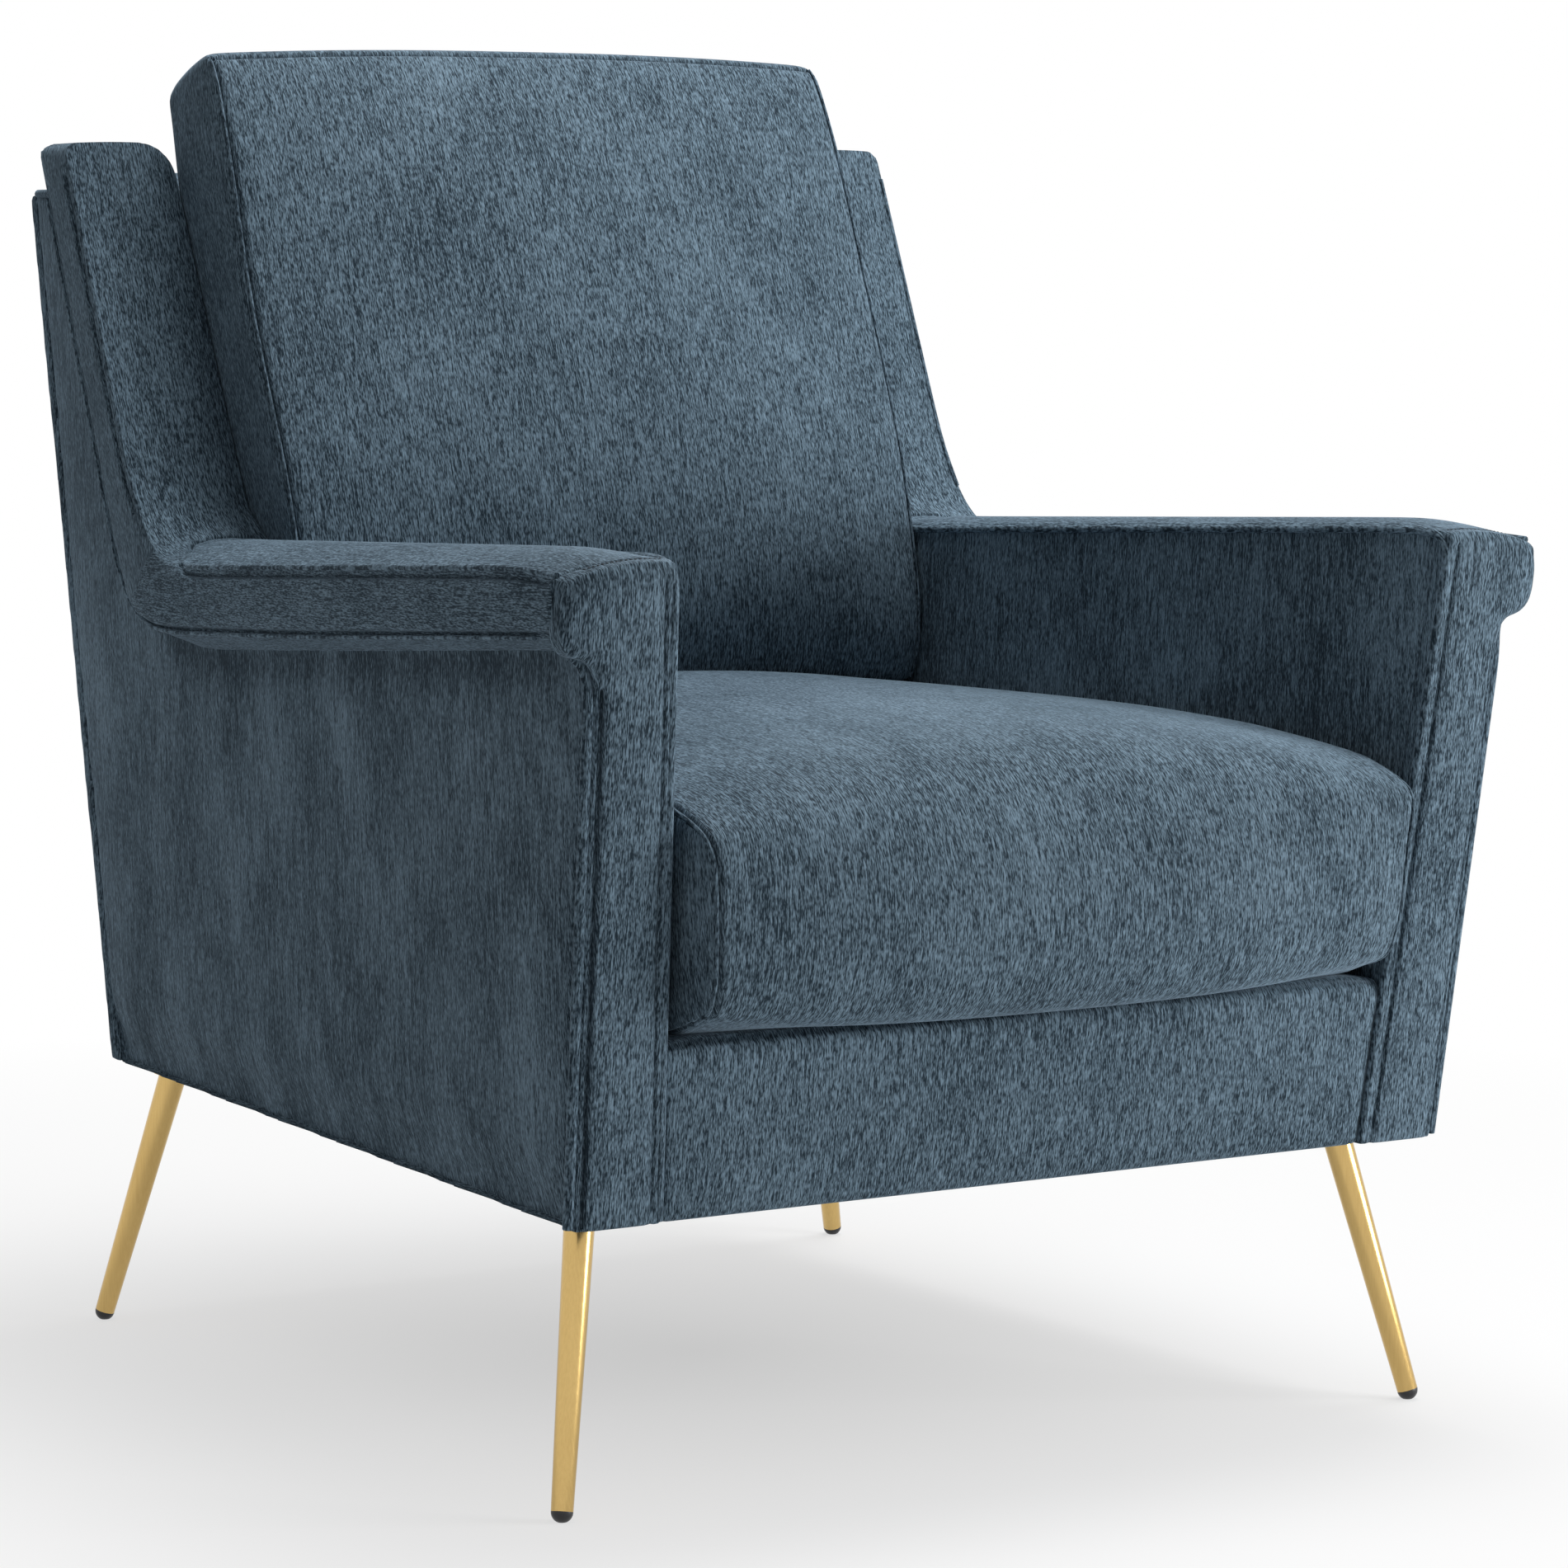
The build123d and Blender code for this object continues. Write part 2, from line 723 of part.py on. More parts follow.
# Seat cushion in side view: a soft front roll and a gently crowned top.
def seat_points(inset):
    floor_z = deck_top_z + running_gap + inset
    rail_edge_y = meet(front_line(rail_recess), level_line(rail_cover_top_z))[0]
    low = (rail_edge_y - seat_overhang + inset, floor_z)
    high = (low[0], seat_front_z - inset)
    roll = (low[0] - seat_bulge, (floor_z + high[1]) / 2)
    crown = (high[0] + crown_from_front - inset, seat_crown_z - inset)
    flat = (rest_y - level_depth - inset, seat_top_z - inset)
    return low, roll, high, crown, flat


def seat_block(inset):
    low, roll, high, crown, flat = seat_points(inset)
    rest = rest_line(-cushion_gap - inset)
    with BuildSketch(Plane.YZ) as face:
        with BuildLine():
            ThreePointArc(low, roll, high)
            ThreePointArc(high, crown, flat)
            Polyline(flat, meet(rest, level_line(flat[1])), meet(rest, level_line(low[1])), low)
        make_face()
    with BuildPart() as block:
        extrude(face.sketch, amount=reach, both=True)
        between_arms(inset)
    return block.part


with BuildPart() as seat_cushion_core:
    add(seat_block(wrap))
save(seat_cushion_core, "seat_cushion_core")


def cross_block(profile, inset):
    # The same piece as cross_piece between the arms, to add or take away.
    with BuildPart() as block:
        cross_piece(profile, inner_reach, inset)
    return block.part


# The zips lie flush in the covers: one across the rear of the seat cushion, and
# one under the back cushion.
def seat_zip_block(spare):
    low_z, high_z = deck_top_z + running_gap, seat_top_z
    middle = (low_z + high_z) / 2
    half = zip_width / 2 + spare
    profile = between(
        rest_line(-cushion_gap),
        rest_line(-cushion_gap - zip_thickness - spare),
        level_line(middle - half),
        level_line(middle + half),
    )
    return cross_block(profile, zip_margin - spare)


with BuildPart() as seat_cushion_zip:
    add(seat_zip_block(0))
save(seat_cushion_zip, "seat_cushion_zip")

seat_hollow = seat_block(wrap - running_gap)
with BuildPart() as seat_cushion:
    add(seat_block(0))
    low, roll, high, crown, flat = seat_points(0)
    soften(crown, (0, 1))
    soften(roll, (-1, 0))
    soften(low, (0, -1))
    add(seat_hollow, mode=Mode.SUBTRACT)
    add(seat_zip_block(zip_clearance), mode=Mode.SUBTRACT)
save(seat_cushion, "seat_cushion")

# The back cushion stands on the seat cushion and leans on the inside back. It is
# drawn in directions along its own lean: up the back, and forward off it.
back_floor_z = seat_top_z + running_gap
back_foot = meet(rest_line(-cushion_gap), level_line(back_floor_z))
up = (sin(radians(rest_lean)), cos(radians(rest_lean)))
forward = (-cos(radians(rest_lean)), sin(radians(rest_lean)))
back_height = (cushion_top_z - back_floor_z - back_thickness * forward[1]) / up[1]


def on_back(height, depth):
    # A side-view point up the inside back and forward from it.
    y = back_foot[0] + height * up[0] + depth * forward[0]
    return (y, back_foot[1] + height * up[1] + depth * forward[1])


def back_block(inset):
    low, high = -back_thickness, back_height - inset
    front = back_thickness - inset
    with BuildSketch(Plane.YZ) as face:
        with BuildLine():
            swell = on_back(back_height / 2, front + back_crown)
            ThreePointArc(on_back(low, front), swell, on_back(high, front))
            rear = [on_back(high, inset), on_back(low, inset)]
            Polyline(on_back(high, front), *rear, on_back(low, front))
        make_face()
    with BuildPart() as block:
        extrude(face.sketch, amount=reach, both=True)
        between_arms(inset)
        split(bisect_by=Plane.XY.offset(back_floor_z + inset), keep=Keep.TOP)
    return block.part


with BuildPart() as back_cushion_core:
    add(back_block(wrap))
save(back_cushion_core, "back_cushion_core")



def back_zip_block(spare):
    middle = back_foot[0] - back_thickness / 2
    half = zip_width / 2 + spare
    profile = between(
        level_line(back_floor_z),
        level_line(back_floor_z + zip_thickness + spare),
        upright_line(middle - half),
        upright_line(middle + half),
    )
    return cross_block(profile, zip_margin - spare)


with BuildPart() as back_cushion_zip:
    add(back_zip_block(0))
save(back_cushion_zip, "back_cushion_zip")

back_hollow = back_block(wrap - running_gap)
with BuildPart() as back_cushion:
    add(back_block(0))
    soften(on_back(back_height / 2, back_thickness + back_crown), forward)
    soften(on_back(back_height, back_thickness), up)
    add(back_hollow, mode=Mode.SUBTRACT)
    add(back_zip_block(zip_clearance), mode=Mode.SUBTRACT)
save(back_cushion, "back_cushion")

# ------------------------------------------------------------- underside, legs
with BuildPart() as dust_cover:
    cover_front = meet(front_line(rail_front + cover_margin), level_line(rail_bottom_z))[0]
    cover_rear = meet(back_line(outside_back_thickness + cover_margin), level_line(rail_bottom_z))[0]
    edge = panel_thickness + cover_margin
    right = [
        (outer_reach(cover_front, base_z) - edge, cover_front),
        (outer_reach(cover_rear, base_z) - edge, cover_rear),
    ]
    with BuildSketch(Plane.XY.offset(rail_bottom_z - cover_sheet)):
        with BuildLine():
            Polyline(*right, *[(-x, y) for x, y in reversed(right)], close=True)
        make_face()
        with Locations(*screw_places):
            RegularPolygon(plate_hole_radius, side_count=screw_sides, mode=Mode.SUBTRACT)
    extrude(amount=cover_sheet)
save(dust_cover, "dust_cover")

with BuildPart() as leg_screws:
    with BuildSketch(Plane.XY.offset(plate_bottom_z - screw_head)):
        with Locations(*screw_places):
            RegularPolygon(screw_head_radius, side_count=screw_sides)
    extrude(amount=screw_head)
    with BuildSketch(Plane.XY.offset(plate_bottom_z)):
        with Locations(*screw_places):
            RegularPolygon(screw_radius, side_count=screw_sides)
    extrude(amount=screw_length)
save(leg_screws, "leg_screws")

# A plug with a tapered end; where it stands it is worn flat.
cap_narrowing = degrees(atan((cap_radius - cap_tip_radius) / (cap_length - cap_rim)))
with BuildPart() as cap_blank:
    with BuildSketch(Plane.XY):
        RegularPolygon(stem_radius, side_count=leg_flats)
    extrude(amount=-stem_length)
    with BuildSketch(Plane.XY):
        RegularPolygon(cap_radius, side_count=leg_flats)
    extrude(amount=cap_rim)
    with BuildSketch(Plane.XY.offset(cap_rim)):
        RegularPolygon(cap_radius, side_count=leg_flats)
    extrude(amount=cap_length - cap_rim, taper=cap_narrowing)

for row, (stand_off, foot_y, splay, turn) in leg_rows.items():
    out, along = foot_fall(splay, turn)
    leg_length = (plate_bottom_z + leg_top_radius) * Vector(out, along, 1).length - cap_height
    leg_narrowing = degrees(atan((leg_top_radius - leg_end_radius) / leg_length))
    with BuildPart() as leg_blank:
        with BuildSketch(Plane.XY.offset(-leg_length)):
            RegularPolygon(leg_top_radius, side_count=leg_flats)
        extrude(amount=leg_length, taper=leg_narrowing)
        with BuildSketch(Plane.XY):
            RegularPolygon(stem_radius + stem_clearance, side_count=leg_flats)
        extrude(amount=-(stem_length + running_gap), mode=Mode.SUBTRACT)

    for side_name, side in sides.items():
        fall = Vector(side * out, along, -1).normalized()
        leg_end = Plane(origin=feet[f"{row}_{side_name}"] - fall * cap_height, z_dir=fall)

        with BuildPart() as leg:
            with Locations(leg_end.location):
                add(leg_blank.part)
            split(bisect_by=Plane.XY.offset(plate_bottom_z), keep=Keep.BOTTOM)
            with BuildSketch(Plane.XY.offset(plate_bottom_z)):
                with Locations(plates[f"{row}_{side_name}"]):
                    RectangleRounded(plate_size, plate_size, plate_round)
                    with Locations(*screw_offsets):
                        RegularPolygon(plate_hole_radius, side_count=screw_sides, mode=Mode.SUBTRACT)
            extrude(amount=plate_thickness)
        save(leg, f"leg_{row}_{side_name}")

        with BuildPart() as foot_cap:
            with Locations(leg_end.location):
                add(cap_blank.part)
            split(bisect_by=Plane.XY, keep=Keep.TOP)
        save(foot_cap, f"foot_cap_{row}_{side_name}")
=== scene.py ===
import json
import math

import bpy
import numpy as np
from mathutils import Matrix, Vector
from mathutils.bvhtree import BVHTree


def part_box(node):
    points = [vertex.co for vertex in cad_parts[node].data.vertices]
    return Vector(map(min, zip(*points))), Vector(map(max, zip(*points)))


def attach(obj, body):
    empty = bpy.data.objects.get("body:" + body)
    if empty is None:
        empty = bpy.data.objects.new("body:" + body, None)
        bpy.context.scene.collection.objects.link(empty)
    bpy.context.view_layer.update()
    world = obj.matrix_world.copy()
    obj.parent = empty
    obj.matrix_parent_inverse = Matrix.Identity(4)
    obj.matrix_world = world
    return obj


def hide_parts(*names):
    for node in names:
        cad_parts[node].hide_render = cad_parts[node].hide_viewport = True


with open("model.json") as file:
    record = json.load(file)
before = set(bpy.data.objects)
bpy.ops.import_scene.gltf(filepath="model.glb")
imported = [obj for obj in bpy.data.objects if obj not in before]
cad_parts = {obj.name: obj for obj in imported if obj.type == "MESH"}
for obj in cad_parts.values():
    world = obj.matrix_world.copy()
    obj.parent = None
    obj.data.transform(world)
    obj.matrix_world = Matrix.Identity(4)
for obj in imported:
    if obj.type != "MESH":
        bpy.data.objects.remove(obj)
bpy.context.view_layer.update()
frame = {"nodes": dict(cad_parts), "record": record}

print("frame loaded:", len(frame["nodes"]), "nodes")


# small helpers for picking and shaping

mergeGap = 0.00002  # corners this close become one
faceEdge = 0.999  # beyond this a point lies on a face of the starting cube

def pickOnly(*pieces):
    bpy.ops.object.select_all(action="DESELECT")
    for piece in pieces:
        piece.select_set(True)
    bpy.context.view_layer.objects.active = pieces[0]


def startPiece(name):  # the primitive just added becomes this piece, placed in its mesh
    piece = bpy.context.object
    piece.name = name
    piece.data.name = name
    bpy.ops.object.transform_apply(location=True, rotation=True, scale=True)
    return piece


def finishWith(piece, kind, **settings):  # adds a modifier and applies it
    pickOnly(piece)
    modifier = piece.modifiers.new("finish", kind)
    for key, value in settings.items():
        setattr(modifier, key, value)
    bpy.ops.object.modifier_apply(modifier=modifier.name)


def editAll(piece, *steps):  # runs edit mode operators on the whole mesh
    pickOnly(piece)
    bpy.ops.object.mode_set(mode="EDIT")
    bpy.ops.mesh.select_all(action="SELECT")
    for step in steps:
        step()
    bpy.ops.object.mode_set(mode="OBJECT")


def getPoints(piece):
    flat = np.empty(len(piece.data.vertices) * 3, np.float32)
    piece.data.vertices.foreach_get("co", flat)
    return flat.reshape(-1, 3).astype(float)


def setPoints(piece, points):
    piece.data.vertices.foreach_set("co", points.astype(np.float32).ravel())
    piece.data.update()


def getNormals(piece):
    flat = np.empty(len(piece.data.vertices) * 3, np.float32)
    piece.data.vertex_normals.foreach_get("vector", flat)
    return flat.reshape(-1, 3).astype(float)


def ease(value):  # 0 to 1 with soft ends
    value = np.clip(value, 0, 1)
    return value * value * (3 - 2 * value)


def distanceTo(points, lines):  # from each point to the nearest of these lines
    nearest = np.full(len(points), 10.0)
    for line in lines:
        for start, end in zip(line[:-1], line[1:]):
            start, run = np.array(start), np.array(end) - np.array(start)
            along = np.clip((points - start) @ run / max(run @ run, 1e-12), 0, 1)
            away = points - start - along[:, None] * run
            nearest = np.minimum(nearest, np.sqrt((away * away).sum(1)))
    return nearest


def sharpLines(piece, angle):  # the creases of a merged copy
    mesh = piece.data
    normals = {}
    for face in mesh.polygons:
        for key in face.edge_keys:
            normals.setdefault(key, []).append(face.normal.copy())
    lines = []
    for (first, second), pair in normals.items():
        if len(pair) == 2 and pair[0].angle(pair[1]) > angle:
            lines.append([tuple(mesh.vertices[first].co), tuple(mesh.vertices[second].co)])
    return lines


def softCopy(node, name, voxel, smoothing, creaseDegrees=32):
    # a stuffed piece starts as a merged copy of its solid, then gets an even skin
    source = frame["nodes"][node]
    piece = source.copy()
    piece.data = source.data.copy()
    for key in list(piece.keys()):
        del piece[key]
    piece.parent = None
    piece.name = name
    piece.data.name = name
    piece.data.materials.clear()
    bpy.context.scene.collection.objects.link(piece)
    editAll(piece, lambda: bpy.ops.mesh.remove_doubles(threshold=mergeGap))
    creases = sharpLines(piece, math.radians(creaseDegrees))
    piece.data.remesh_voxel_size = voxel
    pickOnly(piece)
    bpy.ops.object.voxel_remesh()
    finishWith(piece, "SMOOTH", factor=0.5, iterations=smoothing)
    return piece, creases


def puffUp(piece, lines, height, fade):
    # stuffing lifts the cover between its seams and leaves the seams where they are
    points = getPoints(piece)
    away = distanceTo(points, lines)
    lift = height * (1 - (1 - np.clip(away / fade, 0, 1)) ** 2)
    setPoints(piece, points + getNormals(piece) * lift[:, None])


def smoothShade(piece, degrees=60):
    pickOnly(piece)
    bpy.ops.object.shade_smooth_by_angle(angle=math.radians(degrees))


def mirrorOf(piece, name):  # the same piece for the other side
    pickOnly(piece)
    bpy.ops.object.duplicate()
    twin = bpy.context.object
    twin.name = name
    twin.data.name = name
    editAll(
        twin,
        lambda: bpy.ops.transform.resize(value=(-1, 1, 1), center_override=(0, 0, 0)),
        lambda: bpy.ops.mesh.normals_make_consistent(inside=False),
    )
    return twin


def surfaceOf(*pieces):
    trees = []
    for piece in pieces:
        corners = [tuple(vertex.co) for vertex in piece.data.vertices]
        trees.append(BVHTree.FromPolygons(corners, [tuple(f.vertices) for f in piece.data.polygons]))
    return trees


def glueTo(points, trees, lift):  # lays a seam line on the nearest of these surfaces
    glued = []
    for point in points:
        found = min((tree.find_nearest(Vector(point)) for tree in trees), key=lambda hit: hit[3])
        glued.append(tuple(found[0] + found[1] * lift))
    return glued


def easeLine(points, rounds=3):  # softens the corners of a seam line
    points = np.array(points, float)
    for _ in range(rounds):
        points[1:-1] = points[1:-1] * 0.5 + (points[:-2] + points[2:]) * 0.25
    return [tuple(point) for point in points]


def pipeAlong(name, points, radius):  # a self welt: a soft round roll along a seam
    bpy.ops.curve.primitive_bezier_curve_add()
    curve = bpy.context.object
    curve.name = name
    curve.location = (0, 0, 0)
    curve.data.splines.clear()
    spline = curve.data.splines.new("NURBS")
    spline.points.add(len(points) - 1)
    for place, point in zip(spline.points, points):
        place.co = (*point, 1)
    spline.order_u = 3
    spline.use_endpoint_u = True
    curve.data.dimensions = "3D"
    curve.data.resolution_u = 2
    curve.data.bevel_depth = radius
    curve.data.bevel_resolution = 3
    curve.data.use_fill_caps = True
    pickOnly(curve)
    bpy.ops.object.convert(target="MESH")
    welt = startPiece(name)
    editAll(
        welt,
        lambda: bpy.ops.mesh.remove_doubles(threshold=0.00001),
        lambda: bpy.ops.mesh.normals_make_consistent(inside=False),
    )
    smoothShade(welt, 50)
    return welt


# shader building

class Wire:  # one socket; sums on it add their Math nodes
    def __init__(self, board, socket):
        self.board = board
        self.socket = socket

    def join(self, operation, other, turned=False):
        pair = {0: other, 1: self} if turned else {0: self, 1: other}
        return self.board.node("ShaderNodeMath", {"operation": operation}, pair)

    def __add__(self, other):
        return self.join("ADD", other)

    def __radd__(self, other):
        return self.join("ADD", other, True)

    def __sub__(self, other):
        return self.join("SUBTRACT", other)

    def __rsub__(self, other):
        return self.join("SUBTRACT", other, True)

    def __mul__(self, other):
        return self.join("MULTIPLY", other)

    def __rmul__(self, other):
        return self.join("MULTIPLY", other, True)

    def clamped(self, low=0.0, high=1.0):
        return self.join("MAXIMUM", low).join("MINIMUM", high)


class Board:  # one material, or the sky, and the nodes put on it
    def __init__(self, name, owner=None, **fixed):
        self.material = owner or bpy.data.materials.new(name)
        self.material.use_nodes = True
        self.tree = self.material.node_tree
        self.shader = self.tree.nodes.get("Principled BSDF")
        for key, value in fixed.items():
            self.shader.inputs[key.replace("_", " ")].default_value = value

    def node(self, kind, settings=None, values=None, out=0):
        made = self.tree.nodes.new(kind)
        for key, value in (settings or {}).items():
            if key == "stops":
                for index, (place, colour) in enumerate(value):
                    ramp = made.color_ramp.elements
                    stop = ramp[index] if index < 2 else ramp.new(place)
                    stop.position = place
                    stop.color = (*colour, 1)
            else:
                setattr(made, key, value)
        for key, value in (values or {}).items():
            if isinstance(value, Wire):
                self.tree.links.new(value.socket, made.inputs[key])
            else:
                made.inputs[key].default_value = value
        return Wire(self, made.outputs[out])

    def place(self, size, turn=(0, 0, 0)):  # size of one feature along each axis
        here = self.node("ShaderNodeTexCoord", out="Object")
        values = {"Vector": here, "Scale": size, "Rotation": turn}
        return self.node("ShaderNodeMapping", {"vector_type": "TEXTURE"}, values)

    def noise(self, vector, scale=1.0, detail=2.0, rough=0.5, twist=0.0):
        values = {"Vector": vector, "Scale": scale, "Detail": detail, "Roughness": rough, "Distortion": twist}
        return self.node("ShaderNodeTexNoise", values=values)

    def blend(self, amount, dark, light):
        values = {0: amount, 6: dark if isinstance(dark, Wire) else (*dark, 1)}
        values[7] = light if isinstance(light, Wire) else (*light, 1)
        return self.node("ShaderNodeMix", {"data_type": "RGBA"}, values, out=2)

    def bump(self, height, strength, depth):
        values = {"Height": height, "Strength": strength, "Distance": depth}
        return self.node("ShaderNodeBump", values=values)

    def seenStraight(self):  # 1 for what the camera sees, or sees mirrored
        seenBy = self.node("ShaderNodeLightPath", out="Is Camera Ray")
        seenIn = self.node("ShaderNodeLightPath", out="Is Glossy Ray")
        return (seenBy + seenIn).clamped()

    def show(self, amount, first, second, output):  # mixes two shaders and shows the result
        mixed = self.node("ShaderNodeMixShader", values={0: amount, 1: first, 2: second})
        self.tree.links.new(mixed.socket, self.tree.nodes[output].inputs["Surface"])

    def feed(self, **links):
        for key, wire in links.items():
            self.tree.links.new(wire.socket, self.shader.inputs[key.replace("_", " ")])
        return self.material


velvetLook = {
    "dark": (0.013, 0.024, 0.035),
    "light": (0.164, 0.240, 0.306),
    "fibre": (0.0008, 0.0036),  # across and along one tuft of pile
    "rib": (0.0006, 0.0110),
    "slub": (0.0014, 0.030),
    "cloud": (0.065, 0.110),  # rubbed patches
    "shares": {"fibre": 2.5, "rib": 2.1, "slub": 0.6, "cloud": 0.6},  # of the tone
    "middleTone": 0.39,
    # painted shade: how much darker the velvet is painted down in its seams and beside the pad
    "paintedSeamShadeShare": 0.28,  # darker down in a seam
    "sheen": 0.30,
    "sheenTint": (0.50, 0.68, 0.85, 1),
    "shine": 0.12,
    "relief": 0.22,
    "reliefDepth": 0.00035,
}


def makeVelvet(name, nap, turn=(0, 0, 0), rub=1.0):
    # nap says along which axes the pile runs, before its turn; rub widens and strengthens its streaks
    look = velvetLook
    board = Board(name, Roughness=0.85, Sheen_Weight=look["sheen"], Sheen_Roughness=0.35)
    board.shader.inputs["Sheen Tint"].default_value = look["sheenTint"]
    board.shader.inputs["Specular IOR Level"].default_value = look["shine"]

    def layer(part, detail, rough, twist=0.0):
        across, length = look[part]
        across *= rub if part == "slub" else 1.0
        size = tuple(length if runs else across for runs in nap)
        return board.noise(board.place(size, turn), detail=detail, rough=rough, twist=twist) - 0.5

    fibres, ribs = layer("fibre", 1.0, 0.5), layer("rib", 1.0, 0.55)
    slubs, clouds = layer("slub", 1.0, 0.5), layer("cloud", 4.0, 0.55, 0.2)
    # painted shade: each point's nearness to a pressed seam, painted darker in the tone below
    paintedSeamShade = board.node("ShaderNodeAttribute", {"attribute_name": "paintedSeamShade"}, out="Fac")
    shares = look["shares"]
    shade = fibres * shares["fibre"] + ribs * shares["rib"]
    shade = shade + slubs * shares["slub"] * rub + clouds * shares["cloud"] * rub
    shade = shade + look["middleTone"] - paintedSeamShade * look["paintedSeamShadeShare"]
    colour = board.blend(shade.clamped(), look["dark"], look["light"])
    relief = ribs + slubs * 0.6 + fibres * 0.5
    height = board.bump(relief, look["relief"], look["reliefDepth"])
    return board.feed(Base_Color=colour, Roughness=0.85 - clouds * 0.3, Normal=height)


velvetFront = makeVelvet("velvetFront", (0, 1, 1))  # threads side by side across the chair
velvetSide = makeVelvet("velvetSide", (1, 0, 1), rub=1.9)
velvetBand = makeVelvet("velvetBand", (1, 1, 0))
velvetStrip = makeVelvet("velvetStrip", (1, 0, 1), (math.radians(-21), 0, 0))
plainCover = (velvetFront, velvetSide)
leaningCover = (velvetFront, velvetStrip)


def makeBrass():
    board = Board("satinBrass", Metallic=1.0, Roughness=0.2)
    lines = board.noise(board.place((0.00111, 0.00111, 0.07143)), detail=3.0, rough=0.6)
    tone = board.noise(board.place((0.05556, 0.05556, 0.11111)), detail=2.0)
    shade = (0.35 + lines * 0.35 + tone * 0.3).clamped()
    colour = board.blend(shade, (0.30, 0.175, 0.045), (0.72, 0.51, 0.205))
    return board.feed(Base_Color=colour, Roughness=0.15 + lines * 0.10, Normal=board.bump(lines, 0.08, 0.0003))


def makeBlackCap():
    board = Board("blackCap", Roughness=0.35)
    grain = board.noise(board.place((0.00143, 0.00143, 0.00143)), detail=2.0)
    colour = board.blend(grain, (0.008, 0.008, 0.009), (0.022, 0.022, 0.024))
    return board.feed(Base_Color=colour, Roughness=0.28 + grain * 0.2, Normal=board.bump(grain, 0.1, 0.0002))


def makeSteel():
    board = Board("springSteel", Metallic=1.0, Roughness=0.4)
    grain = board.noise(board.place((0.0025, 0.0025, 0.0025)), detail=3.0)
    colour = board.blend(grain, (0.20, 0.20, 0.21), (0.48, 0.48, 0.50))
    return board.feed(Base_Color=colour, Roughness=0.3 + grain * 0.3, Normal=board.bump(grain, 0.15, 0.0003))


def makeTimber():
    board = Board("frameTimber", Roughness=0.7)
    grain = board.noise(board.place((0.01667, 0.08333, 0.01667)), detail=5.0, rough=0.6, twist=1.2)
    pores = board.noise(board.place((0.00111, 0.01667, 0.00111)), detail=2.0)
    tone = (grain * 0.8 + pores * 0.3 - 0.1).clamped()
    colour = board.blend(tone, (0.36, 0.23, 0.12), (0.72, 0.55, 0.34))
    height = board.bump(grain + pores, 0.2, 0.0005)
    return board.feed(Base_Color=colour, Roughness=0.55 + pores * 0.3, Normal=height)


def makeWoven(name, dark, light, pitch, sheen=0.0):  # plain weave: lining, webbing, zip tape
    board = Board(name, Roughness=0.85, Sheen_Weight=sheen)
    here = board.place((pitch, pitch, pitch))
    thread = {"Vector": here, "Scale": 1.0, "Distortion": 0.6}
    warp, weft = [board.node("ShaderNodeTexWave", {"bands_direction": way}, thread) for way in "XY"]
    dust = board.noise(board.place((0.04, 0.04, 0.04)), detail=4.0)
    cloth = warp * 0.5 + weft * 0.5
    colour = board.blend((cloth * 0.6 + dust * 0.5 - 0.1).clamped(), dark, light)
    return board.feed(Base_Color=colour, Roughness=0.75 + dust * 0.2, Normal=board.bump(cloth, 0.5, 0.0004))


def makeFoam():
    board = Board("cushionFoam", Roughness=0.95)
    here = board.place((0.00167, 0.00167, 0.00167))
    cells = board.node("ShaderNodeTexVoronoi", values={"Vector": here, "Scale": 1.0})
    age = board.noise(board.place((0.11111, 0.11111, 0.11111)), detail=3.0)
    colour = board.blend((age * 0.8 + cells * 0.3 - 0.05).clamped(), (0.62, 0.56, 0.42), (0.84, 0.81, 0.70))
    return board.feed(Base_Color=colour, Roughness=0.85 + cells * 0.1, Normal=board.bump(cells, 0.6, 0.0006))


satinBrass = makeBrass()
blackCap = makeBlackCap()
springSteel = makeSteel()
frameTimber = makeTimber()
blackLining = makeWoven("blackLining", (0.006, 0.006, 0.007), (0.030, 0.030, 0.032), 0.0012)
webbingCloth = makeWoven("webbingCloth", (0.010, 0.010, 0.011), (0.050, 0.050, 0.052), 0.0022)
zipTape = makeWoven("zipTape", (0.020, 0.028, 0.038), (0.070, 0.092, 0.115), 0.0009, 0.2)
cushionFoam = makeFoam()
threadDark = makeWoven("threadDark", (0.010, 0.018, 0.028), (0.030, 0.048, 0.066), 0.0006, 0.2)
deckCloth = makeWoven("deckCloth", (0.030, 0.042, 0.055), (0.085, 0.110, 0.135), 0.0010, 0.1)
print("materials made")


def layNap(piece, materials, choose=None):  # the pile runs one way on each face of a cover
    piece.data.materials.clear()
    for material in materials:
        piece.data.materials.append(material)
    normals, middles = [np.empty(len(piece.data.polygons) * 3, np.float32) for _ in range(2)]
    piece.data.polygons.foreach_get("normal", normals)
    piece.data.polygons.foreach_get("center", middles)
    sideways = np.abs(normals.reshape(-1, 3)[:, 0]) > 0.62
    chosen = choose(sideways, *middles.reshape(-1, 3).astype(float).T) if choose else sideways
    piece.data.polygons.foreach_set("material_index", chosen.astype(np.int32))
    piece.data.update()


def dress(piece, material, body, slot, *nodes):  # what it is made of, moves with and stands for
    if isinstance(material, tuple):
        layNap(piece, material)
    elif material:
        piece.data.materials.clear()
        piece.data.materials.append(material)
    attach(piece, body)
    if nodes:
        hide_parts(*nodes)


# frame pieces that stay as modelled

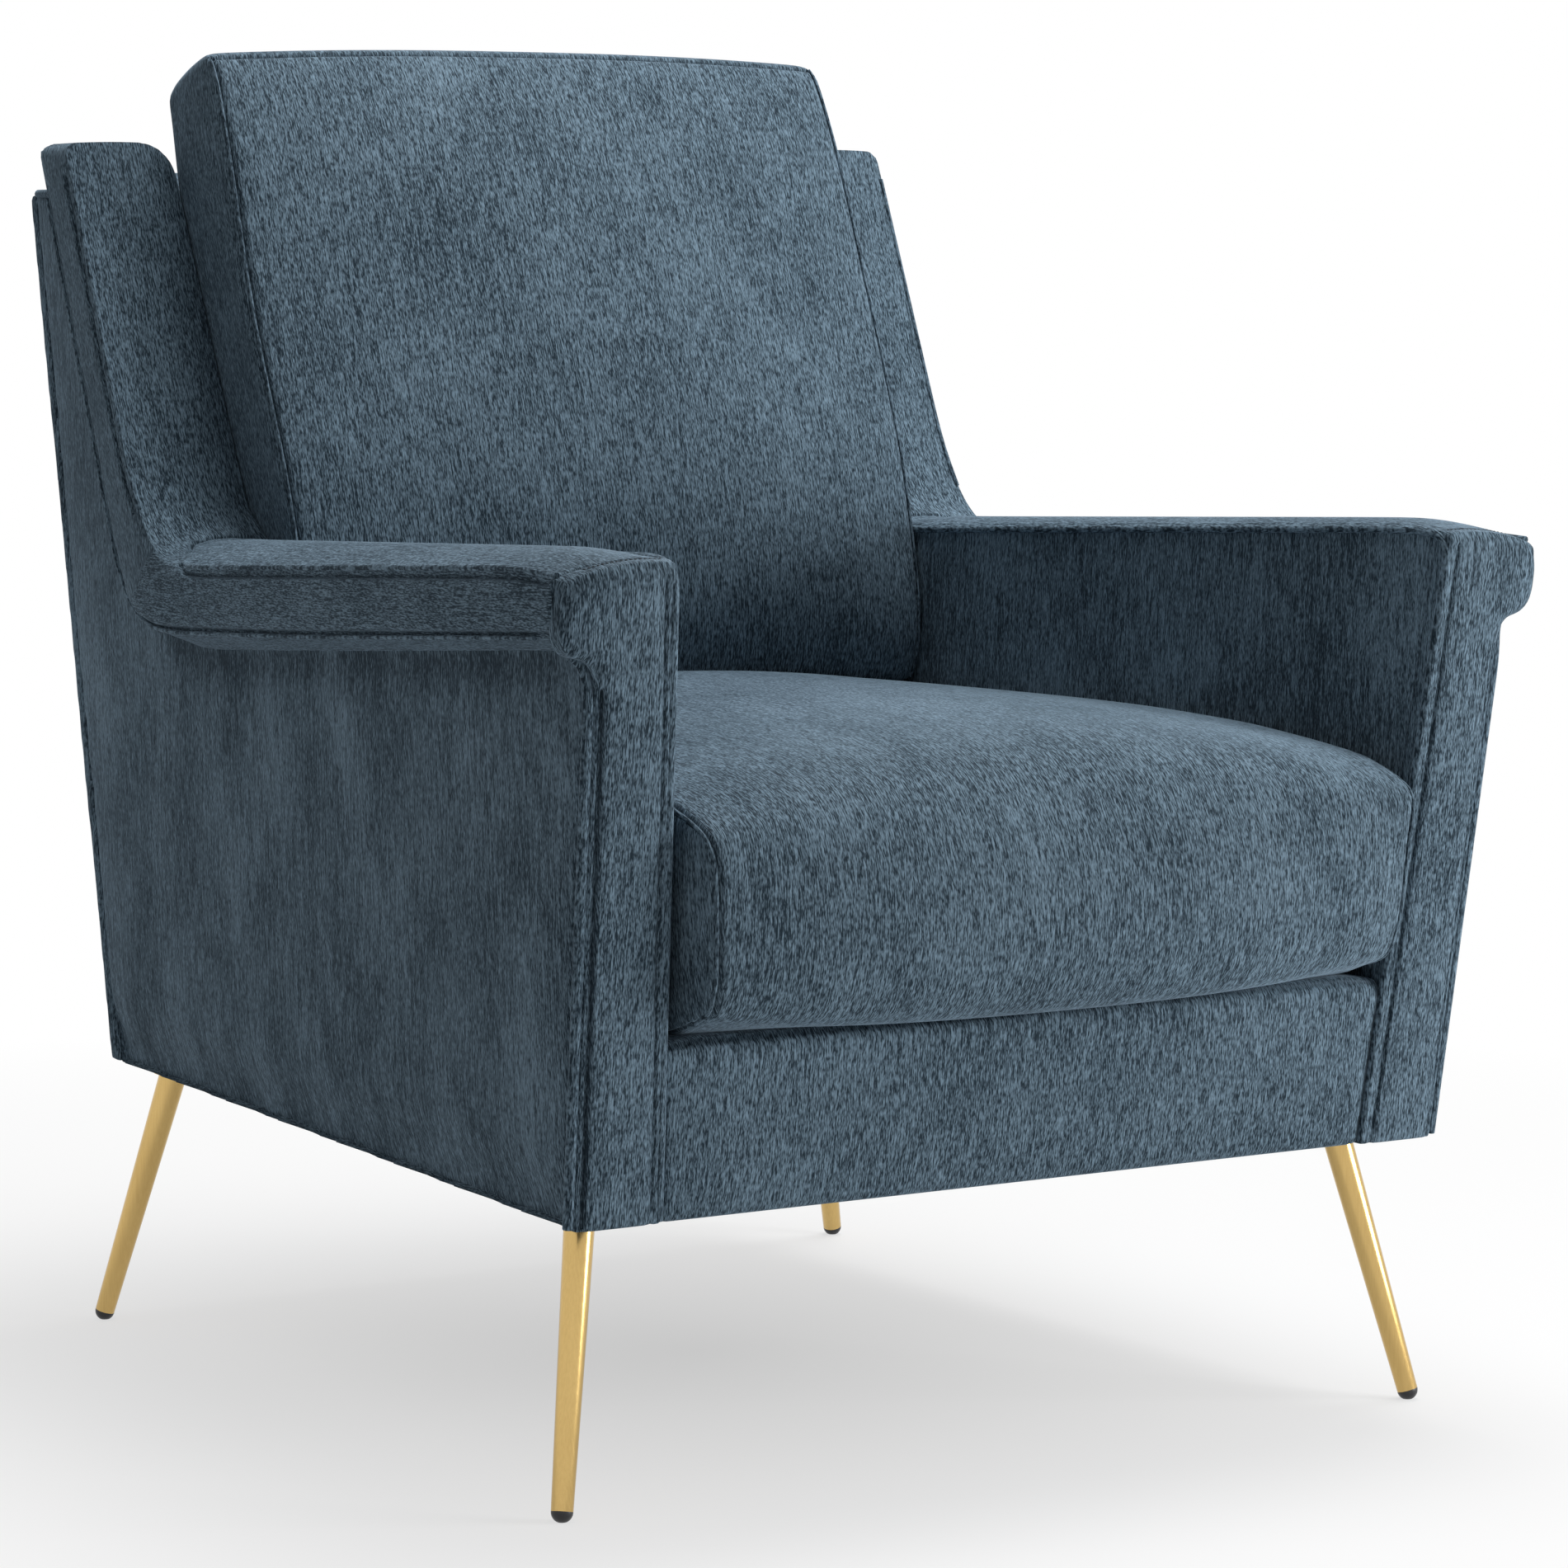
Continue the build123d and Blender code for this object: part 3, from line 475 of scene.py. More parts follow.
frameFinish = {
    "front_post": frameTimber, "side_rail": frameTimber, "back_post": frameTimber, "arm_rail": frameTimber,
    "wing_board": frameTimber, "front_rail": frameTimber, "spring_rail": frameTimber, "rear_rail": frameTimber,
    "back_lower_rail": frameTimber, "back_top_rail": frameTimber, "corner_blocks": frameTimber,
    "seat_springs": springSteel, "spring_clips": springSteel,
    "spring_ties": springSteel, "leg_screws": springSteel,
    "back_webbing": webbingCloth, "seat_cushion_zip": zipTape, "back_cushion_zip": zipTape,
}
for nodeName, node in frame["nodes"].items():
    stem = nodeName.removesuffix("_left").removesuffix("_right")
    finish = frameFinish.get(nodeName) or frameFinish.get(stem)
    if finish:
        node.data.materials.clear()
        node.data.materials.append(finish)


# the chair's shared lines: heights and depths from the solids' boxes, leans and half widths as built

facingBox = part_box("facing_right")
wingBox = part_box("wing_pad_right")
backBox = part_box("outside_back")
chairLines = {
    "floorZ": facingBox[0].z,  # underside of the upholstery
    "frontY": facingBox[1].y - 0.014,  # front bottom edge
    "shellTop": backBox[1].z,
    "wingTop": wingBox[1].z,
    "frontLean": math.tan(math.radians(8.3)),
    "restLean": math.tan(math.radians(18)),
    "wingLean": math.tan(math.radians(23.3)),
    "sideTaper": math.tan(math.radians(3.3)),
    "outerFlare": math.tan(math.radians(1.5)),
    "innerFlare": math.tan(math.radians(2.6)),
    "padTaper": math.tan(math.radians(2.1)),
    "padFlare": math.tan(math.radians(0.9)),
    "rearLean": math.tan(math.radians(9)),
    "outerFoot": 0.330,  # half widths at the front bottom edge
    "innerFoot": 0.270,
    "padFront": 0.365,
    "padFrontY": -0.4675,
    "padFrontZ": 0.593,
}


def outerX(y, z):
    c = chairLines
    return c["outerFoot"] - (y - c["frontY"]) * c["sideTaper"] + (z - c["floorZ"]) * c["outerFlare"]


def innerX(y, z):
    c = chairLines
    return c["innerFoot"] - (y - c["frontY"]) * c["sideTaper"] + (z - c["floorZ"]) * c["innerFlare"]


def padX(y, z):
    c = chairLines
    return c["padFront"] - (y - c["padFrontY"]) * c["padTaper"] + (z - c["padFrontZ"]) * c["padFlare"]


def frontY(z, inset=0.0):
    return chairLines["frontY"] - (z - chairLines["floorZ"]) * chairLines["frontLean"] + inset


# seam heights along the arm: the outer one, the inner one and the crown between them
armSeams = {
    "outerZ": 0.5589, "outerY": 0.1313, "outerFall": 0.0530,
    "innerZ": 0.5702, "innerY": 0.1153, "innerFall": 0.0445,
    "crownZ": 0.5987, "crownFall": 0.0419,
    "noseY": -0.385, "noseDrop": 1.65,  # the pad rounds down towards its front
}


def noseFall(y, share):
    return share * armSeams["noseDrop"] * np.maximum(0, armSeams["noseY"] - y) ** 2


def armOuterZ(y):
    return armSeams["outerZ"] - (y - armSeams["outerY"]) * armSeams["outerFall"] - noseFall(y, 0.66)


def armInnerZ(y):
    return armSeams["innerZ"] - (y - armSeams["innerY"]) * armSeams["innerFall"] - noseFall(y, 0.2)


def armCrownZ(y):
    return armSeams["crownZ"] - (y - armSeams["noseY"]) * armSeams["crownFall"] - noseFall(y, 1.0)


wingLine = {"y": 0.2983, "z": 0.840}  # a point on its front


def wingFrontY(z):
    return wingLine["y"] + (z - wingLine["z"]) * chairLines["wingLean"]


def roundCorner(points, axes, corner, along, onward, radius, chosen):
    # pulls the chosen points near a corner onto an arc that touches both its edges;
    # in a hollow corner the same arc is a fillet
    flat = points[:, axes]
    along, onward = np.array(along, float), np.array(onward, float)
    along /= np.linalg.norm(along)
    onward /= np.linalg.norm(onward)
    half = math.acos(float(np.clip(along @ onward, -1, 1))) / 2
    middle = (along + onward) / np.linalg.norm(along + onward)
    centre = np.array(corner) + middle * radius / math.sin(half)
    touch = radius / math.tan(half)
    offset = flat - np.array(corner)
    near = chosen & (offset @ along < touch) & (offset @ onward < touch)
    away = flat - centre
    length = np.linalg.norm(away, axis=1)
    near &= length > radius
    flat[near] = centre + away[near] * (radius / length[near])[:, None]
    points[:, axes] = flat
    return points


def splitNear(piece, lines, reach, cuts):  # finer faces along a seam
    mesh = piece.data
    middles = np.empty(len(mesh.polygons) * 3, np.float32)
    mesh.polygons.foreach_get("center", middles)
    near = distanceTo(middles.reshape(-1, 3).astype(float), lines) < reach
    mesh.vertices.foreach_set("select", np.zeros(len(mesh.vertices), bool))
    mesh.edges.foreach_set("select", np.zeros(len(mesh.edges), bool))
    mesh.polygons.foreach_set("select", near)
    bpy.context.tool_settings.mesh_select_mode = (False, False, True)
    pickOnly(piece)
    bpy.ops.object.mode_set(mode="EDIT")
    bpy.ops.mesh.subdivide(number_cuts=cuts, quadcorner="INNERVERT")
    bpy.ops.object.mode_set(mode="OBJECT")
    bpy.context.tool_settings.mesh_select_mode = (True, False, False)


def pressSeam(piece, path, width, depth, cuts=2):
    # draws the cover in along a seam, and stores on each point how near it lies, which the velvet paints darker as
    # painted seam shade
    line = [glueTo(path, surfaceOf(piece), 0.0)]
    splitNear(piece, line, width * 1.6, cuts)
    points = getPoints(piece)
    away = distanceTo(points, line)
    share = np.exp(-((away / (width * 0.5)) ** 2))
    setPoints(piece, points - getNormals(piece) * (depth * share)[:, None])
    # painted shade: the nearness share kept on the points, which the velvet paints darker
    mark = piece.data.attributes.get("paintedSeamShade") or piece.data.attributes.new("paintedSeamShade", "FLOAT", "POINT")
    before = np.empty(len(points), np.float32)
    mark.data.foreach_get("value", before)
    mark.data.foreach_set("value", np.maximum(before, share).astype(np.float32))


def plain(path):  # points as plain numbers
    return [tuple(float(value) for value in point) for point in path]


def shifted(line, x=0.0, y=0.0, z=0.0):  # the same line a little to one side
    return plain((point[0] + x, point[1] + y, point[2] + z) for point in line)


# sewn covers start as a block divided evenly

def gridBlock(name, cuts):  # a cube from -1 to 1, divided evenly along each axis
    bpy.ops.object.select_all(action="DESELECT")
    bpy.ops.mesh.primitive_cube_add(size=2, location=(0, 0, 0))
    block = startPiece(name)
    bpy.context.tool_settings.mesh_select_mode = (False, True, False)
    for axis, count in enumerate(cuts):
        for part in (*block.data.vertices, *block.data.polygons):
            part.select = False
        for edge in block.data.edges:
            start, end = (block.data.vertices[index].co for index in edge.vertices)
            edge.select = abs(start[axis] - end[axis]) > 1e-6
        bpy.ops.object.mode_set(mode="EDIT")
        bpy.ops.mesh.subdivide(number_cuts=count)
        bpy.ops.mesh.select_all(action="DESELECT")
        bpy.ops.object.mode_set(mode="OBJECT")
    bpy.context.tool_settings.mesh_select_mode = (True, False, False)
    return block


def softRun(corners, rounds):  # a smooth run through side view corners, in 120 even steps
    corners = np.array(corners, float)
    steps = np.r_[0, np.cumsum(np.linalg.norm(np.diff(corners, axis=0), axis=1))]
    even = np.linspace(0, steps[-1], 121)
    run = np.stack([np.interp(even, steps, corners[:, axis]) for axis in (0, 1)], 1)
    for _ in range(rounds):
        run[1:-1] = run[1:-1] * 0.5 + (run[:-2] + run[2:]) * 0.25
    return run


def along(run, share):  # where a share of the way along a run lies
    place = np.linspace(0, 1, len(run))
    return np.stack([np.interp(share, place, run[:, axis]) for axis in (0, 1)], 1)


def sideView(front, top, rear, bottom, u, v):  # u front to rear, v bottom to top, inside four runs
    u, v = u[:, None], v[:, None]
    f, t, r, b = along(front, v[:, 0]), along(top, u[:, 0]), along(rear, v[:, 0]), along(bottom, u[:, 0])
    corners = (1 - u) * (1 - v) * front[0] + u * (1 - v) * rear[0] + (1 - u) * v * front[-1] + u * v * rear[-1]
    return (1 - v) * b + v * t + (1 - u) * f + u * r - corners


def restY(z, gap=0.0):  # front of the inside back
    return restLine["y"] - gap + (z - restLine["z"]) * chairLines["restLean"]


restLine = {"y": 0.1838, "z": 0.4563}


# Each arm pad is one long stuffed roll: along the arm, round the corner and up the wing.
armPadLook = {
    "cuts": (19, 109, 13),
    "wingTop": chairLines["wingTop"] + 0.003,
    "stripWidth": 0.050,  # front seam to rear edge of the wing
    "crownWing": 0.0034,
    "sideBulge": 0.0045,
    "inLap": 0.0035,  # how far the inner panel laps over the pad
    "innerCorner": 0.024,  # rounding of the wing's top corners
    "outerCorner": 0.011,
    "rearCorner": 0.013,
    "lapFrom": 0.55,  # under the pad, where the underside turns out to the crease
    "lapRun": 0.45,
    "outerLift": 0.0028,
}


def armPadRuns():  # side view lines of the pad, front to wing top
    look = armPadLook
    up = np.linspace(0.63, look["wingTop"], 7)
    wingUp = [(wingFrontY(z), z) for z in up]
    outerTop = [(y, armOuterZ(y)) for y in np.linspace(-0.4535, 0.100, 12)]
    outerTop += [(0.1300, 0.5612), (0.1580, 0.5680), (0.1810, 0.5890), (0.2000, 0.6170)] + wingUp
    innerTop = [(y, armInnerZ(y)) for y in np.linspace(-0.4535, 0.140, 13)]
    innerTop += [(0.1680, 0.5740), (0.1890, 0.5920)] + wingUp
    rearUp = [(wingFrontY(z) + look["stripWidth"], z) for z in np.linspace(0.575, look["wingTop"], 8)]
    crease = [(-0.4535, 0.5490), (-0.4337, 0.5480), (-0.0727, 0.5252), (0.1100, 0.5160), (0.1580, 0.5140)]
    crease += [(0.1860, 0.5165), (0.2080, 0.5270), (0.2220, 0.5450)] + rearUp
    contact = [(-0.4535, 0.5405), (-0.3717, 0.5336), (-0.0787, 0.5136), (0.1150, 0.5010), (0.1500, 0.4995)]
    contact += [(0.1850, 0.5030), (0.2120, 0.5180), (0.2270, 0.5420)] + [(y + 0.005, z) for y, z in rearUp]
    return softRun(outerTop, 8), softRun(innerTop, 3), softRun(crease, 8), softRun(contact, 8)


def shapeArmPad(piece):
    look = armPadLook
    points = getPoints(piece)
    a, u, v = [(column + 1) / 2 for column in points.T]
    outerTop, innerTop, crease, contact = [along(run, u) for run in armPadRuns()]
    hidden = contact + (outerTop - contact) * 0.45
    # top face, crowned square to its own slope
    top = innerTop + (outerTop - innerTop) * a[:, None]
    onWing = ease((u - 0.60) / 0.10)
    seamZ = (armInnerZ(top[:, 0]) + armOuterZ(top[:, 0])) / 2
    rise = (armCrownZ(top[:, 0]) - seamZ) * (1 - onWing) + look["crownWing"] * onWing
    rise *= 4 * a * (1 - a)
    lean = np.arctan(chairLines["wingLean"])
    top = top + np.stack([-np.cos(lean) * onWing, 1 - onWing * (1 - np.sin(lean))], 1) * rise[:, None]
    # bottom face: level inside the arm, down its side, then out to the crease
    inside = a <= 0.5001
    turned = np.clip((a - look["lapFrom"]) / look["lapRun"], 0, 1)
    low = np.where(inside[:, None], hidden, contact + (crease - contact) * turned[:, None])
    view = low * (1 - v)[:, None] + top * v[:, None]
    y, z = view.T
    lap = look["inLap"] * (1 - onWing)
    innerSide, outerSide, body = innerX(y, z), padX(y, z), outerX(y, z) - 0.001
    reach = (body - innerSide) / (outerSide - innerSide)
    share = np.where(inside, a / 0.5 * reach, reach + (1 - reach) * turned)
    share = share * (1 - v) + a * v
    x = innerSide + lap * (1 - a) * (1 - 0.7 * v) + (outerSide - innerSide - lap * (1 - a)) * share
    bulge = look["sideBulge"] * (1 - 0.45 * onWing) * (1 - np.abs(2 * v - 1) ** 4)
    x += np.where(a > faceEdge, bulge, 0) + look["outerLift"] * a * v * (1 - onWing)
    setPoints(piece, np.stack([x, y, z], 1))


def coverBlock(name, cuts, shape, seamy, crease=0.55):
    # a block shaped as one sewn cover; seamy picks which cube edges stay crisp
    piece = gridBlock(name, cuts)
    onSeam = seamy(*getPoints(piece).T)
    shape(piece)
    editAll(piece, lambda: bpy.ops.mesh.normals_make_consistent(inside=False))
    mesh = piece.data
    values = [crease if onSeam[item.vertices[0]] and onSeam[item.vertices[1]] else 0.0 for item in mesh.edges]
    mesh.attributes.new("crease_edge", "FLOAT", "EDGE").data.foreach_set("value", values)
    finishWith(piece, "SUBSURF", levels=1, render_levels=1)
    return piece


def onEdges(x, y, z):  # where two or more cube faces meet
    return sum((np.abs(side) > faceEdge).astype(int) for side in (x, y, z)) >= 2


armPad = coverBlock("arm_pad_cover_right", armPadLook["cuts"], shapeArmPad, onEdges)
points = getPoints(armPad)
top = armPadLook["wingTop"] + 0.0005
wingRows = points[:, 1] > 0.26
innerTip, outerTip = (innerX(0.31, top), top), (padX(0.31, top) + 0.001, top)
rearTip = (wingFrontY(top) + armPadLook["stripWidth"] + 0.001, top)
for axes, tip, downward, inward, radius in (
    ([0, 2], innerTip, (0, -1), (1, 0.0), armPadLook["innerCorner"]),
    ([0, 2], outerTip, (0.02, -1), (-1, 0.0), armPadLook["outerCorner"]),
    ([1, 2], rearTip, (-chairLines["wingLean"], -1), (-1, 0.0), armPadLook["rearCorner"]),
):
    points = roundCorner(points, axes, tip, downward, inward, radius, wingRows)
setPoints(armPad, points)
smoothShade(armPad, 50)
padTree = surfaceOf(armPad)
print("arm pads shaped")

# the inner panel, from the seat deck up to the pad and the wing
innerPanelLook = {"cuts": (3, 89, 45), "thickness": 0.008}


def shapeInnerPanel(piece):
    points = getPoints(piece)
    a, u, v = [(column + 1) / 2 for column in points.T]
    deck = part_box("inner_arm_right")[0].z
    front = softRun([(frontY(z, 0.0135), z) for z in (deck, 0.40, armInnerZ(-0.452) - 0.001)], 0)
    top = [(y, armInnerZ(y) - 0.001) for y in np.linspace(front[-1][0], 0.150, 14)]
    top += [(wingFrontY(z) + 0.010, z) for z in np.linspace(0.610, 0.815, 6)]
    top = softRun(top, 2)
    rear = softRun([(restY(z) + 0.006 + 0.008 * (z - deck), z) for z in (deck, 0.55, top[-1][1])], 0)
    rear[-1] = (restY(top[-1][1]) + 0.012, top[-1][1])
    top[-1] = rear[-1]
    bottom = softRun([front[0], rear[0]], 0)
    y, z = sideView(front, top, rear, bottom, u, v).T
    behind = ease((y - wingFrontY(z) + 0.010) / 0.012)
    x = innerX(y, z) + innerPanelLook["thickness"] * a + 0.0022 * behind
    setPoints(piece, np.stack([x, y, z], 1))


innerPanel = coverBlock("inner_panel_right", innerPanelLook["cuts"], shapeInnerPanel, onEdges)
smoothShade(innerPanel, 50)

# welts by the seam they close, and for each pressed seam its width (which also sets how far its painted shade
# spreads), its depth and how finely the cover is divided beside it
weltRadius = {
    "inner": 0.0031, "outer": 0.0031 * 0.80, "facing": 0.0031 * 1.15,
    "rim": 0.0016, "ridge": 0.0017, "rear": 0.0020,
}
seamPress = {
    "under outer welt": (0.0036, 0.0030, 2),
    "wing foot": (0.0040, 0.0034, 2),
    "pad end": (0.0030, 0.0017, 2),
    "pad crease": (0.0046, 0.0022, 2),
    "panel beside pad": (0.0260, 0.0012, 1),
    "wing front": (0.0034, 0.0026, 2),
    "wing rear": (0.0034, 0.0012, 1),
    "pad beside inner welt": (0.0036, 0.0022, 1),
    "facing beside inner welt": (0.0030, 0.0018, 1),
    "facing beside its welt": (0.0034, 0.0034, 2),
    "panel beside its welt": (0.0050, 0.0032, 1),
    "facing top": (0.0016, 0.0007, 1),
}

# padded front of the arm, with its outer end hanging over
facingLook = {
    "cuts": (23, 5, 97),
    "depth": 0.0142,
    "puff": 0.0032,
    "puffReach": 0.022,
    "roll": 0.0026,
    "rollReach": 0.007,
    "foot": 0.060,  # its width at the foot and at the top, and its height
    "head": 0.068,
    "height": 0.41,
    "shrink": 0.0024,
    # the overhang: distances out from the arm's side or from the pad's, then heights
    "tip": [
        ("arm", 0.0006, 0.5240), ("arm", 0.0020, 0.5312), ("arm", 0.0066, 0.5354), ("arm", 0.0136, 0.5364),
        ("pad", -0.0022, 0.5382), ("pad", 0.0030, 0.5440), ("pad", 0.0046, 0.5530),
        ("pad", 0.0046, 0.5660), ("pad", 0.0042, 0.5780), ("pad", 0.0036, 0.5842),
    ],
}


def facingOutline(height):
    x = {"arm": outerX, "pad": padX}
    side = [(outerX(frontY(z), z), z) for z in np.linspace(height, 0.505, 9)]
    return side + [(x[kind](-0.46, z) + out, z) for kind, out, z in facingLook["tip"]]


def shapeFacing(piece):
    look = facingLook
    points = getPoints(piece)
    u, w, v = [(column + 1) / 2 for column in points.T]
    low = chairLines["floorZ"]
    outer = softRun(facingOutline(low), 1)
    inner = softRun([(innerX(frontY(z), z), z) for z in (low, 0.40, armInnerZ(-0.4545))], 0)
    across = np.linspace(0, 1, 9)
    start, end = inner[-1], outer[-1]
    rise = armCrownZ(-0.4545) - (armInnerZ(-0.4545) + armOuterZ(-0.4545)) / 2
    top = [(start[0] + (end[0] - start[0]) * s, start[1] + (end[1] - start[1]) * s) for s in across]
    top = softRun([(x, z + rise * 4 * s * (1 - s)) for (x, z), s in zip(top, across)], 0)
    x, z = sideView(inner, top, outer, softRun([inner[0], outer[0]], 0), u, v).T
    y = frontY(z) + look["depth"] * w
    face = w < 0.001
    outerAway, topAway = (1 - u) * look["head"], (1 - v) * look["height"]
    away = np.minimum.reduce([u * look["foot"], outerAway, topAway])
    puff = look["puff"] * (1 - (1 - np.clip(away / look["puffReach"], 0, 1)) ** 2)
    roll = look["roll"] * np.clip(1 - np.minimum(outerAway, topAway) / look["rollReach"], 0, 1) ** 2
    y += np.where(face, roll - puff, 0)
    # its outline draws in towards the front, as a rolled edge does
    shrink = look["shrink"] * (1 - w) ** 2
    overEnd = ease((u - 0.80) / 0.2) * ease((z - 0.530) / 0.010)
    x -= shrink * overEnd * (0.4 + 1.2 * ease((z - 0.566) / 0.014))
    z -= shrink * ease((v - 0.965) / 0.035) * (1 + 1.2 * overEnd)
    z += shrink * 0.5 * overEnd * ease((0.556 - z) / 0.015)
    setPoints(piece, np.stack([x, y, z], 1))


def rearEdges(x, y, z):
    return onEdges(x, y, z) & (y > 0)


facing = coverBlock("arm_facing_right", facingLook["cuts"], shapeFacing, rearEdges, 0.6)
facingTree = surfaceOf(facing)

# side panel, swelling a little between its seams and drawn in at the bottom
panelLook = {"voxel": 0.0055, "swell": 0.0050, "swellReach": 0.09, "tuck": 0.0080, "tuckHeight": 0.055}
sidePanel, creases = softCopy("outer_arm_right", "side_panel_right", panelLook["voxel"], 3)
points = getPoints(sidePanel)
x, y, z = points.T
outward = getNormals(sidePanel)[:, 0] > 0.5
fromFloor, fromTop = z - chairLines["floorZ"], chairLines["shellTop"] - z
backEdge = backBox[1].y - 0.018 - fromTop * chairLines["rearLean"]
edgeAway = np.minimum.reduce([fromFloor, fromTop, y - frontY(z, 0.014), backEdge - y])
swell = panelLook["swell"] * (1 - (1 - np.clip(edgeAway / panelLook["swellReach"], 0, 1)) ** 2)
tuck = panelLook["tuck"] * ease(1 - fromFloor / panelLook["tuckHeight"])
points[:, 0] += np.where(outward, swell - tuck, 0)
setPoints(sidePanel, points)
smoothShade(sidePanel)

# top outer seam: a welt from the front corner to the rear one, then a plain seam across the wing's foot
topRun = np.linspace(-0.4530, 0.098, 27)
topSeam = plain((padX(y, armOuterZ(y)) + 0.0022, y, armOuterZ(y) + 0.0008) for y in topRun)
topSeam += plain([(padX(0.11, 0.56) - 0.0040, 0.1150, 0.5614), (padX(0.12, 0.56) - 0.0100, 0.1310, 0.5650)])
topSeam = easeLine(topSeam, 2)
outerWelt = pipeAlong("outer_welt_right", topSeam, weltRadius["outer"])
pressSeam(armPad, shifted(topSeam[:-1], x=0.0008, z=-0.0058), *seamPress["under outer welt"])
footX = padX(0.13, 0.565)
acrossFoot = [(footX - 0.010, 0.131), (footX - 0.024, 0.1480), (0.3000, 0.1560), (0.2800, 0.1600)]
acrossFoot += [(innerX(0.16, 0.57) + 0.001, 0.1640)]
footSeam = glueTo([(x, y, 0.580) for x, y in acrossFoot], padTree, 0.0)
pressSeam(armPad, footSeam, *seamPress["wing foot"])

# groove round the end of the pad, where it meets the facing
endY = -0.4520
endRun = [(padX(endY, z) + 0.0046, endY, z) for z in np.linspace(0.546, 0.583, 8)]
endRun += [(x, endY, 0.590) for x in np.linspace(padX(endY, 0.58), innerX(endY, 0.59) + 0.003, 12)]
pressSeam(armPad, glueTo(plain(endRun), padTree, 0.0), *seamPress["pad end"])

# crease above the band's slanted lower edge
outerTopRun, _, creaseRun, contactRun = armPadRuns()
creaseLine = plain((padX(y, z), y, z + 0.0030) for y, z in creaseRun[:78:3])
pressSeam(armPad, creaseLine, *seamPress["pad crease"])

# a small rim follows the pad's lower and rear edge, and the side panel is drawn in a little beside it and painted
# darker there, a painted shadow under the pad and behind the wing
rimRun = easeLine(plain((padX(y, z) + 0.0004, y, z) for y, z in creaseRun[4:117:3]), 1)
padRim = pipeAlong("pad_rim_right", rimRun, weltRadius["rim"])
beside = {"turn": 0.55, "away": 0.006}  # under the pad up to this height, behind the wing above it
contactLine = plain(
    (
        outerX(y, z),
        y + (beside["away"] if z > beside["turn"] else 0.0),
        z - (beside["away"] if z < beside["turn"] else 0.0),
    )
    for y, z in contactRun[6:119:3]
)
# painted shadow: a wide, shallow press whose darkening stands in for the pad's shadow on the panel
pressSeam(sidePanel, contactLine, *seamPress["panel beside pad"])

# ridge along the front outer edge of the wing, with its stitching behind it
wingSeam = [(padX(y, z) - 0.0010, y + 0.0002, z) for y, z in outerTopRun[84:118:3]]
wingRidge = pipeAlong("wing_ridge_right", wingSeam, weltRadius["ridge"])
pressSeam(armPad, shifted(wingSeam, 0.001, 0.0058, -0.0024), *seamPress["wing front"])
rearSeam = [(padX(y, z) + 0.0010, y - 0.0048, z + 0.0020) for y, z in creaseRun[80:118:3]]
pressSeam(armPad, plain(rearSeam), *seamPress["wing rear"])
smoothShade(armPad, 60)

# inner seam: along the arm's inner top edge, round the corner and down the facing
bottom = chairLines["floorZ"]
alongArm, downFront = np.linspace(0.150, -0.458, 32), np.linspace(0.586, bottom + 0.002, 34)
innerRun = plain((innerX(y, armInnerZ(y)) + 0.0012, y, armInnerZ(y) - 0.0006) for y in alongArm)
innerDrop = plain((innerX(frontY(z), z) + 0.0012, frontY(z) + 0.0012, z) for z in downFront)
innerPath = easeLine(innerRun + innerDrop, 1)
innerWelt = pipeAlong("inner_welt_right", innerPath, weltRadius["inner"])
pressSeam(armPad, shifted(innerPath[:31], x=0.0064), *seamPress["pad beside inner welt"])
pressSeam(facing, shifted(innerPath[32:], x=0.0068), *seamPress["facing beside inner welt"])

# outer edge of the facing: a welt that turns out under the overhang
hook = plain([
    (outerX(-0.45, 0.535) + 0.0120, frontY(0.5370, 0.0130), 0.5385),
    (outerX(-0.45, 0.53) + 0.0065, frontY(0.5340, 0.0110), 0.5358),
    (outerX(-0.45, 0.53) + 0.0022, frontY(0.5290, 0.0092), 0.5300),
])
downSide = np.linspace(0.516, bottom + 0.002, 30)
facingLine = easeLine(hook + plain((outerX(frontY(z), z) + 0.0024, frontY(z, 0.0050), z) for z in downSide), 1)
facingWelt = pipeAlong("facing_welt_right", facingLine, weltRadius["facing"])
straight = facingLine[len(hook):]
pressSeam(facing, shifted(straight, x=-0.0058, y=-0.0060), *seamPress["facing beside its welt"])
pressSeam(sidePanel, shifted(straight, y=0.0076), *seamPress["panel beside its welt"])

# a slim welt down the rear corner, where the side panel meets the outside back
cornerRun = [
    (backBox[1].y - 0.0040 - (chairLines["shellTop"] - z) * chairLines["rearLean"], z)
    for z in np.linspace(0.186, 0.812, 28)
]
cornerLine = plain((outerX(y, z) - 0.0016, y, z) for y, z in cornerRun)
backWelt = pipeAlong("back_welt_right", cornerLine, weltRadius["rear"])

# a row of small stitches closes the top of the facing
stitchLook = {"count": 17, "long": 0.0022, "wide": 0.0005}
stitchRun = [(x, frontY(0.587, 0.0095), 0.60) for x in np.linspace(0.298, 0.352, 12)]
stitchRun = glueTo(stitchRun, facingTree, 0.0)
pressSeam(facing, stitchRun, *seamPress["facing top"])
stitches = []
even, spots = np.linspace(0, 1, len(stitchRun)), np.array(stitchRun)
stretch = (stitchLook["long"] / stitchLook["wide"] / 2, 1, 1)
for share in np.linspace(0, 1, stitchLook["count"]):
    spot = np.array([np.interp(share, even, spots[:, axis]) for axis in range(3)])
    bpy.ops.object.select_all(action="DESELECT")
    bpy.ops.mesh.primitive_uv_sphere_add(
        segments=8, ring_count=6, radius=stitchLook["wide"], location=spot, scale=stretch
    )
    stitches.append(startPiece("facing_stitches_right"))
pickOnly(*stitches)
bpy.ops.object.join()
stitchRow = bpy.context.view_layer.objects.active
stitchRow.name = stitchRow.data.name = "facing_stitches_right"
smoothShade(stitchRow, 60)
